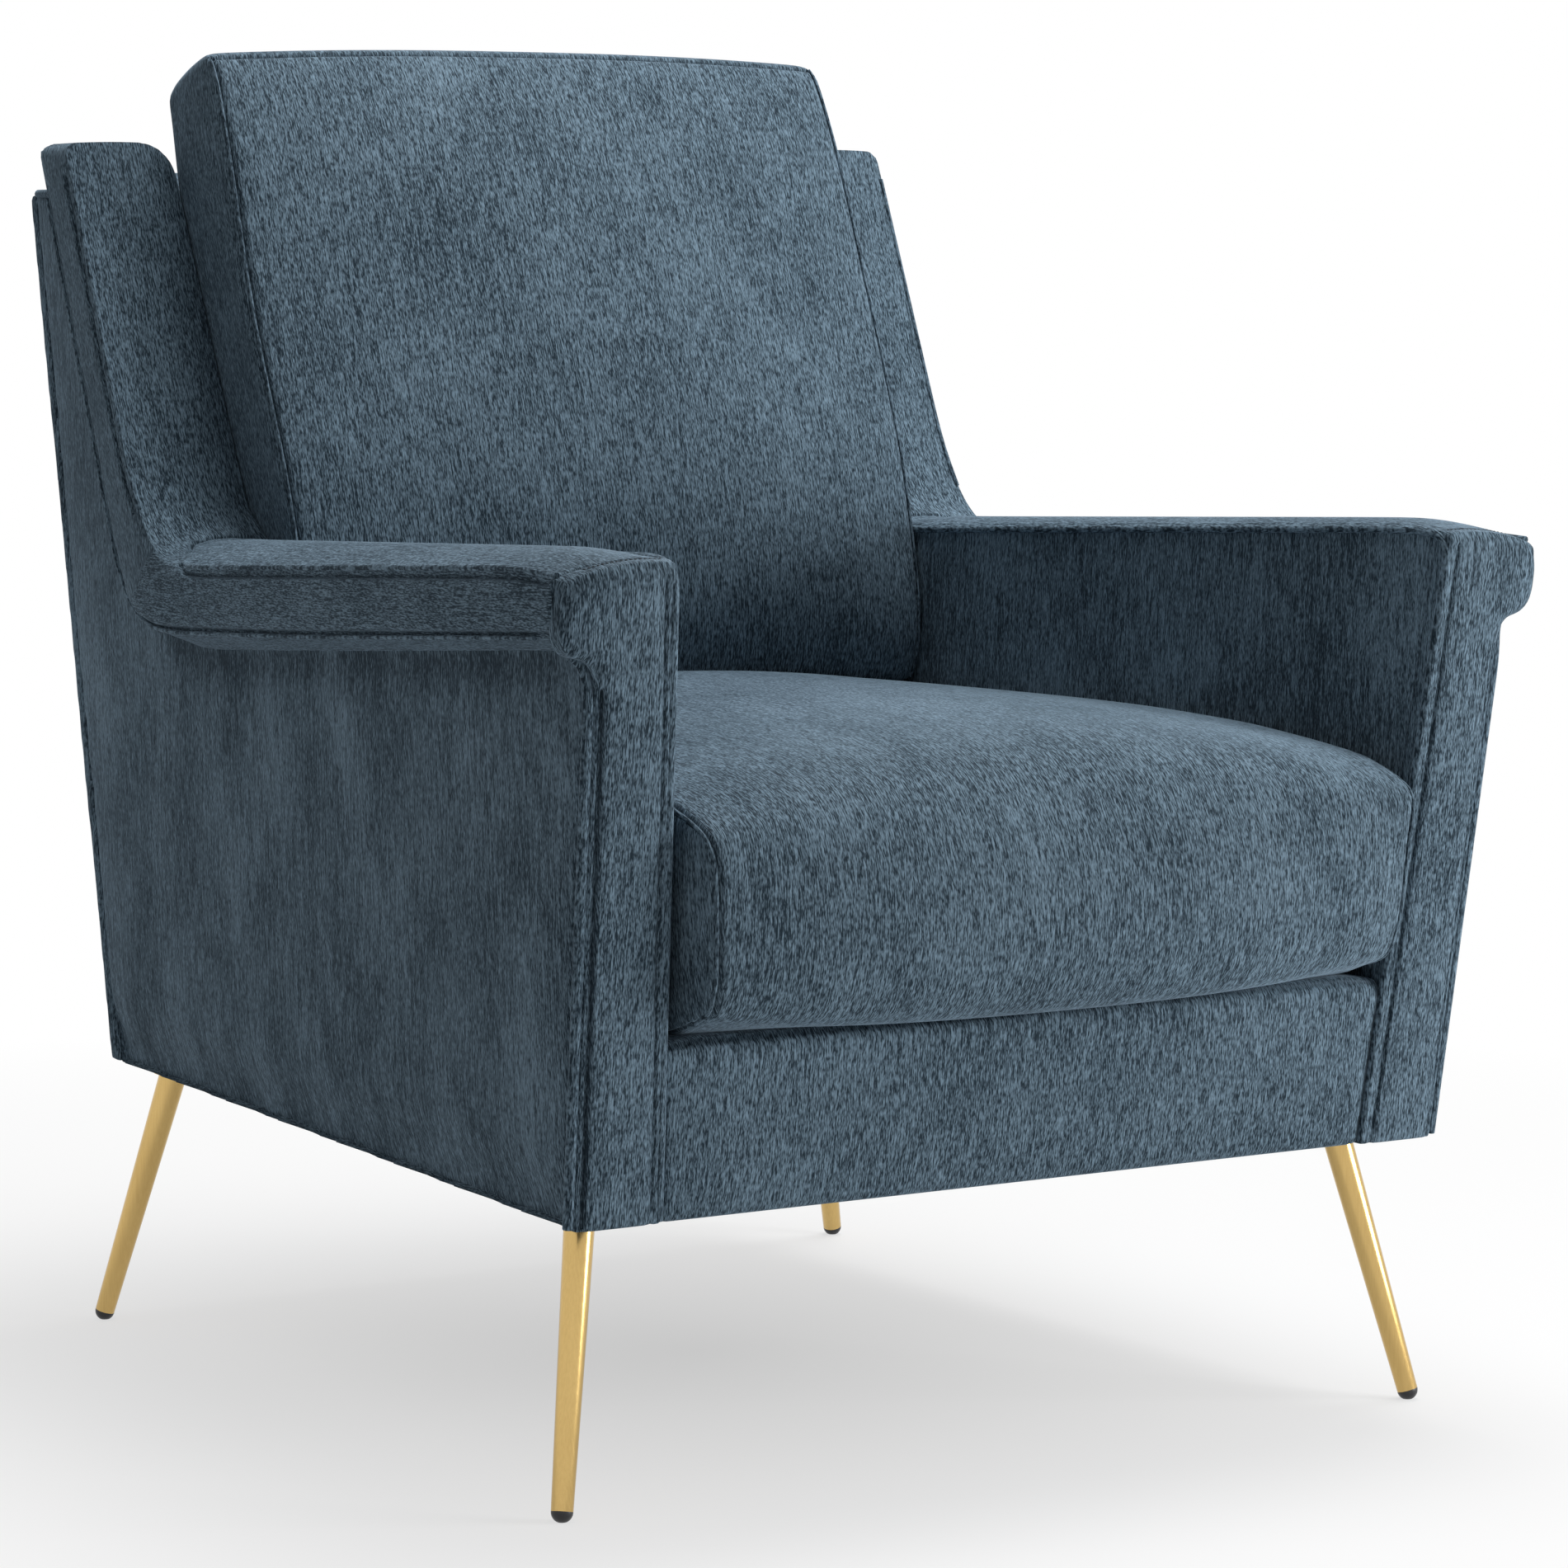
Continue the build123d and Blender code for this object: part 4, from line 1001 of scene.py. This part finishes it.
smoothShade(facing, 60)
smoothShade(sidePanel, 70)
print("facings, side panels and their seams made")


layNap(
    armPad,
    (velvetFront, velvetBand, velvetStrip),
    lambda sideways, x, y, z: np.where(sideways, np.where(z > 0.574 - (y - 0.15) * 0.9, 2, 1), 0),
)

armPieces = {
    armPad: (None, ["arm_pad", "wing_pad"]),
    innerPanel: (plainCover, ["inner_arm"]),
    facing: (plainCover, ["facing"]),
    sidePanel: (plainCover, ["outer_arm"]),
    innerWelt: (velvetFront, []),
    outerWelt: (velvetFront, []),
    facingWelt: (velvetFront, []),
    wingRidge: (velvetFront, []),
    padRim: (velvetFront, []),
    backWelt: (velvetFront, []),
    stitchRow: (threadDark, []),
}
for piece, (material, stems) in armPieces.items():
    twin = mirrorOf(piece, piece.name.replace("_right", "_left"))
    dress(piece, material, "chair", "upholstery", *[stem + "_right" for stem in stems])
    dress(twin, material, "chair", "upholstery", *[stem + "_left" for stem in stems])


# covers that run across the chair
crossLook = {"voxel": 0.005, "puff": 0.004, "fade": 0.05}
crossPieces = {
    "front_rail_cover": ("rail_cover", plainCover),
    "seat_deck": ("deck_cover", deckCloth),
    "inside_back": ("inside_back_cover", plainCover),
    "outside_back": ("outside_back_cover", plainCover),
}
for node, (name, material) in crossPieces.items():
    piece, creases = softCopy(node, name, crossLook["voxel"], 4)
    puffUp(piece, creases, crossLook["puff"], crossLook["fade"])
    smoothShade(piece)
    dress(piece, material, "chair", "upholstery", node)

# a low pillow closes the top of the shell, with piping round its three outer sides
shellLook = {
    "cuts": (61, 11, 5),
    "frontY": 0.338,
    "rearY": backBox[1].y - 0.0016,
    "edge": 0.0062,  # its height at the rim, and what the dome adds
    "rise": 0.0150,
    "pipe": 0.0031,
}


def shapeTopPillow(piece):
    look = shellLook
    points = getPoints(piece)
    a, u, v = points[:, 0], (points[:, 1] + 1) / 2, (points[:, 2] + 1) / 2
    y = look["frontY"] + (look["rearY"] - look["frontY"]) * u
    low = chairLines["shellTop"] - 0.006
    dome = (1 - np.abs(2 * u - 1) ** 2.6) * (1 - (1 - ease((1 - np.abs(a)) * 0.295 / 0.008)) ** 2)
    z = low + (look["edge"] + look["rise"] * dome) * v
    x = a * (outerX(y, low) - 0.0012 - 0.0020 * v)
    setPoints(piece, np.stack([x, y, z], 1))


topPillow = coverBlock("back_top_cover", shellLook["cuts"], shapeTopPillow, onEdges, 0.2)
smoothShade(topPillow)
dress(topPillow, plainCover, "chair", "upholstery", "back_top_pad")
pipeZ = chairLines["shellTop"] - 0.0002
sideRun = [(outerX(y, pipeZ) - 0.0004, y, pipeZ) for y in np.linspace(0.336, shellLook["rearY"] - 0.007, 9)]
rearRun = [(x, shellLook["rearY"] + 0.0006, pipeZ) for x in np.linspace(0.289, -0.289, 41)]
pipeRun = plain(sideRun + rearRun + [(-x, y, z) for x, y, z in reversed(sideRun)])
shellPipe = pipeAlong("shell_piping", easeLine(pipeRun, 1), shellLook["pipe"])
dress(shellPipe, velvetSide, "chair", "upholstery")
print("cross covers made")


# loose cushions: sewn blocks whose covers are blown up with a cloth simulation;
# side views at the ends and in the middle, then seams as fixed cube sides and the axis they run along
bothSides = (-1, 1)
seatLook = {
    "cuts": (61, 69, 15),
    "deckZ": 0.2966,
    "endFront": [
        (-0.4290, 0.3080), (-0.4520, 0.3155), (-0.4620, 0.3390),
        (-0.4655, 0.3800), (-0.4690, 0.4140), (-0.4655, 0.4255),
    ],
    "endTop": [
        (-0.4655, 0.4255), (-0.4517, 0.4332), (-0.4227, 0.4433), (-0.3757, 0.4487), (-0.3037, 0.4557),
        (-0.2097, 0.4593), (-0.05, 0.4565), (0.0373, 0.4545), (0.1148, 0.4560), (0.1838, 0.4563),
    ],
    "midFront": [
        (-0.4350, 0.2965), (-0.4560, 0.2995), (-0.4695, 0.3240),
        (-0.4735, 0.3700), (-0.4690, 0.4080), (-0.4560, 0.4400),
    ],
    "midTop": [
        (-0.4560, 0.4400), (-0.4300, 0.4570), (-0.3800, 0.4680), (-0.3000, 0.4740),
        (-0.2000, 0.4765), (-0.0500, 0.4740), (0.0973, 0.4700), (0.1838, 0.4660),
    ],
    "seamIn": 0.0100,  # top seam to the arm
    "noseIn": 0.0185,  # front seam to the arm
    "sideBulge": 0.0085,
    "pressure": 3.0,
    "cap": 0.012,  # the most the stuffing may move a point
    "armGap": 0.0012,
    "soften": 2,
    "seams": [({0: side, 2: 1}, 1) for side in bothSides]  # top
    + [({0: side, 1: -1}, 2) for side in bothSides]  # front
    + [({0: side, 2: -1}, 1) for side in bothSides],  # bottom
    "seamWidth": 0.0040,
    "seamDepth": 0.0022,
    "welts": {"seat_cushion_welt_left": (2, 0), "seat_cushion_welt_right": (3, 1)},  # up the front, then back
    "weltRadius": 0.0012,
    "weltLift": 0.0010,
}


def shapeSeat(piece):
    look = seatLook
    points = getPoints(piece)
    a, u, v = points[:, 0], (points[:, 1] + 1) / 2, (points[:, 2] + 1) / 2
    views = []
    for end in ("end", "mid"):
        front, top = softRun(look[end + "Front"], 5), softRun(look[end + "Top"], 8)
        deckZ = look["deckZ"]
        low = [tuple(front[0]), (front[0][0] + 0.03, deckZ), (restY(deckZ, 0.001), deckZ)]
        bottom = softRun(low, 2)
        rear = softRun([bottom[-1], top[-1]], 0)
        views.append(sideView(front, top, rear, bottom, u, v))
    fullness = (1 - np.abs(a) ** 2.6)[:, None]
    view = views[0] * (1 - fullness) + views[1] * fullness
    y, z = view.T
    nose = ease((-0.36 - y) / 0.10) * (1 - ease((z - 0.395) / 0.04) * 0.55)
    half = innerX(y, z) - look["seamIn"] - (look["noseIn"] - look["seamIn"]) * nose
    onSide = np.abs(a) > faceEdge
    bulge = look["sideBulge"] * 16 * u * (1 - u) * v * (1 - v)
    bulge = bulge + look["sideBulge"] * 0.5 * (1 - (2 * v - 1) ** 4) * (1 - (2 * u - 1) ** 10)
    x = a * half + np.where(onSide, np.sign(a) * np.minimum(bulge, look["sideBulge"] * 1.05), 0)
    setPoints(piece, np.stack([x, y, z], 1))


backLook = {
    "cuts": (61, 13, 59),
    "front": [
        (0.1060, 0.4572), (0.0975, 0.4780), (0.0985, 0.5155), (0.1120, 0.5680), (0.1283, 0.6250),
        (0.1473, 0.6700), (0.1693, 0.7230), (0.1868, 0.7670), (0.2043, 0.8160), (0.2193, 0.8540),
        (0.2333, 0.8850), (0.2440, 0.9060), (0.2520, 0.9120),
    ],
    "bottomZ": 0.4572,
    "topRear": (0.3245, 0.8930),
    "halfLow": 0.2530,
    "halfTop": 0.2525,
    "halfMiddle": 0.2585,
    "dome": 0.016,
    "sideBulge": 0.0040,
    "topCrown": 0.0060,
    "pressure": 3.0,
    "cap": 0.012,  # the most the stuffing may move a point
    "armGap": 0.0012,
    "soften": 5,
    "seams": [({0: side, 1: end}, 2) for side in bothSides for end in bothSides]  # up the corners
    + [({1: end, 2: 1}, 0) for end in bothSides],  # across the top
    "seamWidth": 0.0036,
    "seamDepth": 0.0020,
    "welts": {"back_cushion_welt_left": (0,), "back_cushion_welt_right": (2,)},
    "weltRadius": 0.0011,
    "weltLift": 0.0010,
}


def shapeBack(piece):
    look = backLook
    points = getPoints(piece)
    a, u, v = points[:, 0], (points[:, 1] + 1) / 2, (points[:, 2] + 1) / 2
    front = softRun(look["front"], 10)
    topRear = np.array(look["topRear"])
    rear = [(restY(look["bottomZ"], 0.001), look["bottomZ"]), topRear - (0.0085, 0.0240), topRear - (0.0005, 0.0090)]
    rear = softRun(rear, 4)
    crown = (front[-1] + topRear) / 2 + (0.001, 0.004)
    top = softRun([front[-1], front[-1] + (0.010, 0.0035), crown, topRear - (0.009, -0.0015), rear[-1]], 3)
    bottom = softRun([front[0], rear[0]], 0)
    y, z = sideView(front, top, rear, bottom, u, v).T
    up = np.clip((z - 0.457) / 0.455, 0, 1)
    low = look["halfLow"]
    half = low + (look["halfMiddle"] - low) * np.sin(np.pi * np.clip(up * 1.05, 0, 1)) ** 0.8
    half = half + (look["halfTop"] - low) * up ** 3
    half = np.minimum(half, np.where(z < 0.80, innerX(y, z) - 0.0025, 1.0))
    across = 1 - np.abs(a) ** 2.4
    frontShare = (1 - u) * np.sin(np.pi * np.clip(v * 0.96 + 0.02, 0, 1)) ** 0.6
    y -= look["dome"] * across * frontShare * 0.95
    z += look["dome"] * across * frontShare * 0.31
    z += look["topCrown"] * across * ease((v - 0.86) / 0.14)
    bulge = look["sideBulge"] * 16 * u * (1 - u) * np.clip(v * (1 - v) * 2, 0, 0.25)
    x = a * half + np.where(np.abs(a) > faceEdge, np.sign(a) * bulge, 0)
    setPoints(piece, np.stack([x, y, z], 1))


stuffing = {
    "vertex_group_mass": "seam",
    "use_pressure": True,
    "quality": 4,
    "mass": 0.3,
    "tension_stiffness": 12,
    "compression_stiffness": 12,
    "bending_stiffness": 0.6,
}
stuffingSteps = 20


def blowUp(piece, pinned, look):
    start = getPoints(piece)
    seam = piece.vertex_groups.new(name="seam")
    seam.add([int(index) for index in np.nonzero(pinned)[0]], 1.0, "REPLACE")
    pickOnly(piece)
    cloth = piece.modifiers.new("stuffing", "CLOTH")
    for key, value in stuffing.items():
        setattr(cloth.settings, key, value)
    cloth.settings.uniform_pressure_force = look["pressure"]
    cloth.settings.effector_weights.gravity = 0
    cloth.point_cache.frame_end = stuffingSteps
    for step in range(1, stuffingSteps + 1):
        bpy.context.scene.frame_set(step)
    bpy.ops.object.modifier_apply(modifier=cloth.name)
    bpy.context.scene.frame_set(1)
    move = getPoints(piece) - start
    length = np.linalg.norm(move, axis=1)
    share = np.minimum(1, look["cap"] / np.maximum(length, 1e-9))
    setPoints(piece, start + move * share[:, None])
    print("  ", piece.name, "moved by up to", round(float(length.max()) * 1000, 1), "mm")


def seamRuns(cube, points, seams):  # each seam as an ordered run of places
    runs = []
    for fixed, axis in seams:
        on = np.ones(len(cube), bool)
        for other, side in fixed.items():
            on &= np.abs(cube[:, other] - side) < 0.001
        order = np.nonzero(on)[0][np.argsort(cube[on, axis])]
        runs.append(plain(points[order]))
    return runs


def makeCushion(name, look, shape, body, material, node):
    piece = gridBlock(name, look["cuts"])
    cube = getPoints(piece)
    onFace = np.abs(cube) > faceEdge
    onSeam = onFace[:, 0] & (onFace[:, 1] | onFace[:, 2])
    onSeam |= (cube[:, 1] > faceEdge) & onFace[:, 2]
    if node == "back_cushion":
        onSeam |= onFace[:, 1] & onFace[:, 2]
    held = onSeam | (cube[:, 2] < -faceEdge) | (cube[:, 1] > faceEdge)
    shape(piece)
    editAll(piece, lambda: bpy.ops.mesh.normals_make_consistent(inside=False))
    blowUp(piece, held, look)
    finishWith(piece, "SMOOTH", factor=0.5, iterations=look["soften"])
    points = getPoints(piece)
    x, y, z = points.T
    limit = np.where((z < 0.82) & (y > -0.43), innerX(y, z) - look["armGap"], 1.0)  # between the arms
    points[:, 0] = np.clip(x, -limit, limit)
    setPoints(piece, points)
    seams = seamRuns(cube, points, look["seams"])
    finishWith(piece, "SUBSURF", levels=1, render_levels=1)
    for seam in seams:
        pressSeam(piece, seam, look["seamWidth"], look["seamDepth"], 1)
    smoothShade(piece, 60)
    cover = surfaceOf(piece)
    for name, rows in look["welts"].items():
        run = [point for row in rows for point in seams[row][1 if row != rows[0] else 0:]]
        welt = pipeAlong(name, glueTo(easeLine(run, 2), cover, look["weltLift"]), look["weltRadius"])
        dress(welt, velvetFront, body, "upholstery")
    dress(piece, material, body, "upholstery", node)


makeCushion("seat_cover", seatLook, shapeSeat, "seat_cushion", plainCover, "seat_cushion")
makeCushion("back_cover", backLook, shapeBack, "back_cushion", leaningCover, "back_cushion")

# foam cores, drawn in a little from their covers
foamLook = {"voxel": 0.008, "drawnIn": 0.009}
for body in ("seat_cushion", "back_cushion"):
    foam, creases = softCopy(f"{body}_core", f"{body}_foam", foamLook["voxel"], 3)
    setPoints(foam, getPoints(foam) - getNormals(foam) * foamLook["drawnIn"])
    smoothShade(foam)
    dress(foam, cushionFoam, body, "cushion_filling", f"{body}_core")
print("cushions made")


# legs: tapered rods screwed under the frame, each on a black plug
legLook = {
    "front": {"outward": 11.2, "onward": -12.2},
    "rear": {"outward": 13.1, "onward": 11.1},
    "topRadius": 0.010,
    "endRadius": 0.0070,
    "edge": 0.0006,
    "plateZ": 0.1827,
    "plateSide": 0.050,
    "plateThick": 0.003,
    "plateCorner": 0.006,
    "plateEdge": 0.0004,
    "headRadius": 0.0045,
    "screwIn": 0.018,  # from a screw to the middle of its plate
    "capRise": 0.0062,
    "capMiddle": 0.0066,
    "capRadius": 0.0070,
    "capFoot": 0.0002,
}


def cutLevel(piece, height, side):  # cuts off what lies above (1) or below (-1) a height, and closes the cut
    level = {"plane_co": (0, 0, height), "plane_no": (0, 0, side)}
    editAll(piece, lambda: bpy.ops.mesh.bisect(**level, clear_outer=True, use_fill=True))


def makeLeg(row):
    look = legLook
    foot = next(m["pos_m"] for m in frame["record"]["mounts"] if m["name"] == f"{row}_right_foot")
    outward, onward = [math.tan(math.radians(look[row][way])) for way in ("outward", "onward")]
    fall = Vector((outward, onward, -1))
    length = (look["plateZ"] + 0.004) * fall.length - look["capRise"]
    fall.normalize()
    turn = Vector((0, 0, -1)).rotation_difference(fall).to_euler()
    end = Vector(foot) - fall * look["capRise"]
    bpy.ops.object.select_all(action="DESELECT")
    bpy.ops.mesh.primitive_cone_add(
        vertices=64, radius1=look["endRadius"], radius2=look["topRadius"], depth=length, end_fill_type="NGON",
        location=end - fall * length / 2, rotation=turn,
    )
    leg = startPiece(f"{row}_leg_right")
    finishWith(leg, "BEVEL", width=look["edge"], segments=3, limit_method="ANGLE", angle_limit=math.radians(40))
    cutLevel(leg, look["plateZ"], 1)
    smoothShade(leg, 35)
    plate = plateAt(f"{row}_plate_right", row)
    pickOnly(leg, plate)
    bpy.ops.object.join()
    leg.data.name = leg.name
    cap = makeCap(f"{row}_cap_right", Vector(foot), fall)
    return leg, cap


def plateAt(name, row):
    look = legLook
    screws, box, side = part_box("leg_screws"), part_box(f"leg_{row}_right"), look["plateSide"]
    centre = Vector((box[0].x + side / 2, box[0].y + side / 2, look["plateZ"] + 0.0015))
    if row == "front":  # placed from its outermost screw
        centre.x = screws[1].x - look["headRadius"] - look["screwIn"]
        centre.y = screws[0].y + look["headRadius"] + look["screwIn"]
    bpy.ops.object.select_all(action="DESELECT")
    bpy.ops.mesh.primitive_cube_add(size=1, location=centre, scale=(side, side, look["plateThick"]))
    plate = startPiece(name)
    pickOnly(plate)
    bpy.ops.object.mode_set(mode="EDIT")
    bpy.ops.mesh.select_all(action="DESELECT")
    bpy.ops.object.mode_set(mode="OBJECT")
    for edge in plate.data.edges:
        ends = [plate.data.vertices[index].co for index in edge.vertices]
        edge.select = abs(ends[0].z - ends[1].z) > 0.001
    bpy.ops.object.mode_set(mode="EDIT")
    bpy.ops.mesh.bevel(offset=look["plateCorner"], segments=6)
    bpy.ops.object.mode_set(mode="OBJECT")
    limit = math.radians(50)
    finishWith(plate, "BEVEL", width=look["plateEdge"], segments=2, limit_method="ANGLE", angle_limit=limit)
    smoothShade(plate, 35)
    return plate


def makeCap(name, foot, fall):
    bpy.ops.object.select_all(action="DESELECT")
    look = legLook
    centre = foot - fall * look["capMiddle"]
    bpy.ops.mesh.primitive_uv_sphere_add(segments=40, ring_count=20, radius=look["capRadius"], location=centre)
    cap = startPiece(name)
    cutLevel(cap, look["capFoot"], -1)
    smoothShade(cap, 40)
    return cap


for row in ("front", "rear"):
    leg, cap = makeLeg(row)
    legTwin = mirrorOf(leg, leg.name.replace("_right", "_left"))
    capTwin = mirrorOf(cap, cap.name.replace("_right", "_left"))
    for piece, material, slot, node in (
        (leg, satinBrass, "leg_brass", f"leg_{row}_right"),
        (legTwin, satinBrass, "leg_brass", f"leg_{row}_left"),
        (cap, blackCap, "foot_plastic", f"foot_cap_{row}_right"),
        (capTwin, blackCap, "foot_plastic", f"foot_cap_{row}_left"),
    ):
        dress(piece, material, "chair", slot, node)
print("legs made")


# black lining stretched under the frame
liningLook = {"sag": 0.0045, "thickness": 0.0006, "inset": 0.013}
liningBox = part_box("dust_cover")
bpy.ops.object.select_all(action="DESELECT")
width, depth = liningBox[1].x - liningBox[0].x, liningBox[1].y - liningBox[0].y
middle = Vector((0, (liningBox[0].y + liningBox[1].y) / 2, liningBox[0].z + liningLook["thickness"]))
bpy.ops.mesh.primitive_grid_add(x_subdivisions=60, y_subdivisions=70, size=1, location=middle)
lining = startPiece("underside_lining")
points = getPoints(lining)
x, y, z = points.T
downLength = (y - y.min()) / (y.max() - y.min())
frontHalf = outerX(liningBox[0].y, bottom) - liningLook["inset"]
rearHalf = outerX(liningBox[1].y, bottom) - liningLook["inset"]
halfWidth = frontHalf + (rearHalf - frontHalf) * downLength
across = x / x.max()
sag = liningLook["sag"] * (1 - np.clip(np.abs(across) * 1.25, 0, 1) ** 2)
sag = sag * np.clip(np.sin(np.pi * downLength), 0, 1)
setPoints(lining, np.stack([across * halfWidth, liningBox[0].y + downLength * depth, z - sag], 1))
finishWith(lining, "SOLIDIFY", thickness=liningLook["thickness"], offset=1)
smoothShade(lining, 60)
dress(lining, blackLining, "chair", "dark_lining", "dust_cover")
flatSize, flatArea = (float(width), float(depth)), float((frontHalf + rearHalf) * depth)
print("lining made")


# pale studio: floor, soft lights, white surroundings
studioLook = {
    "floorTone": 0.80,
    "sky": 0.27,
    "shadowShare": 0.5,  # how much of the shadow shows on the floor
    "shadowReach": 1.6,
    "lamps": {  # place, aim, size and watts
        "topLamp": ((0.5, 0.2, 2.7), (0, -0.2, 0.4), 1.4, 60.0),
        "keyLamp": ((1.8, -1.8, 0.60), (0.2, -0.4, 0.33), 1.0, 42.0),
    },
    "cameraPlace": (-1.8689, -3.1409, 0.7804),
    "cameraBack": (-0.5226, -0.8464, 0.1026),  # from what it looks at towards the camera
    "lens": 120.3,
    "sensor": 36.0,
}
bpy.ops.object.select_all(action="DESELECT")
bpy.ops.mesh.primitive_plane_add(size=16, location=(0, 0, 0))
floor = startPiece("studio_floor")
floorBoard = Board("paleFloor", Roughness=0.9)
floorBoard.shader.inputs["Base Color"].default_value = (studioLook["floorTone"],) * 3 + (1,)
glow = floorBoard.node("ShaderNodeEmission", values={"Color": (1, 1, 1, 1)})
here = floorBoard.place((studioLook["shadowReach"],) * 3)
near = floorBoard.node("ShaderNodeTexGradient", {"gradient_type": "SPHERICAL"}, {"Vector": here})
amount = floorBoard.seenStraight() * (1.0 - near * studioLook["shadowShare"])
floorBoard.show(amount, Wire(floorBoard, floorBoard.shader.outputs[0]), glow, "Material Output")
floor.data.materials.append(floorBoard.material)

bpy.context.scene.world = bpy.data.worlds.new("studioSky")
skyBoard = Board("studioSky", bpy.context.scene.world)
softSky = skyBoard.node("ShaderNodeBackground", values={"Color": (1, 1, 1, 1), "Strength": studioLook["sky"]})
whiteSky = skyBoard.node("ShaderNodeBackground", values={"Color": (1, 1, 1, 1), "Strength": 1.0})
skyBoard.show(skyBoard.seenStraight(), softSky, whiteSky, "World Output")


def addLamp(name, place, aim, size, watts):
    bpy.ops.object.light_add(type="AREA", location=place)
    lamp = bpy.context.object
    lamp.name = name
    lamp.data.size = size
    lamp.data.energy = watts
    lamp.rotation_euler = (Vector(aim) - Vector(place)).to_track_quat("-Z", "Y").to_euler()


for name, lamp in studioLook["lamps"].items():
    addLamp(name, *lamp)

bpy.ops.object.camera_add(location=studioLook["cameraPlace"])
camera = bpy.context.object
camera.data.lens = studioLook["lens"]
camera.data.sensor_width = studioLook["sensor"]
camera.rotation_euler = Vector(studioLook["cameraBack"]).to_track_quat("Z", "Y").to_euler()
camera.data.clip_end = 60
bpy.context.scene.camera = camera
bpy.context.scene.view_settings.view_transform = "Standard"
print("studio set")
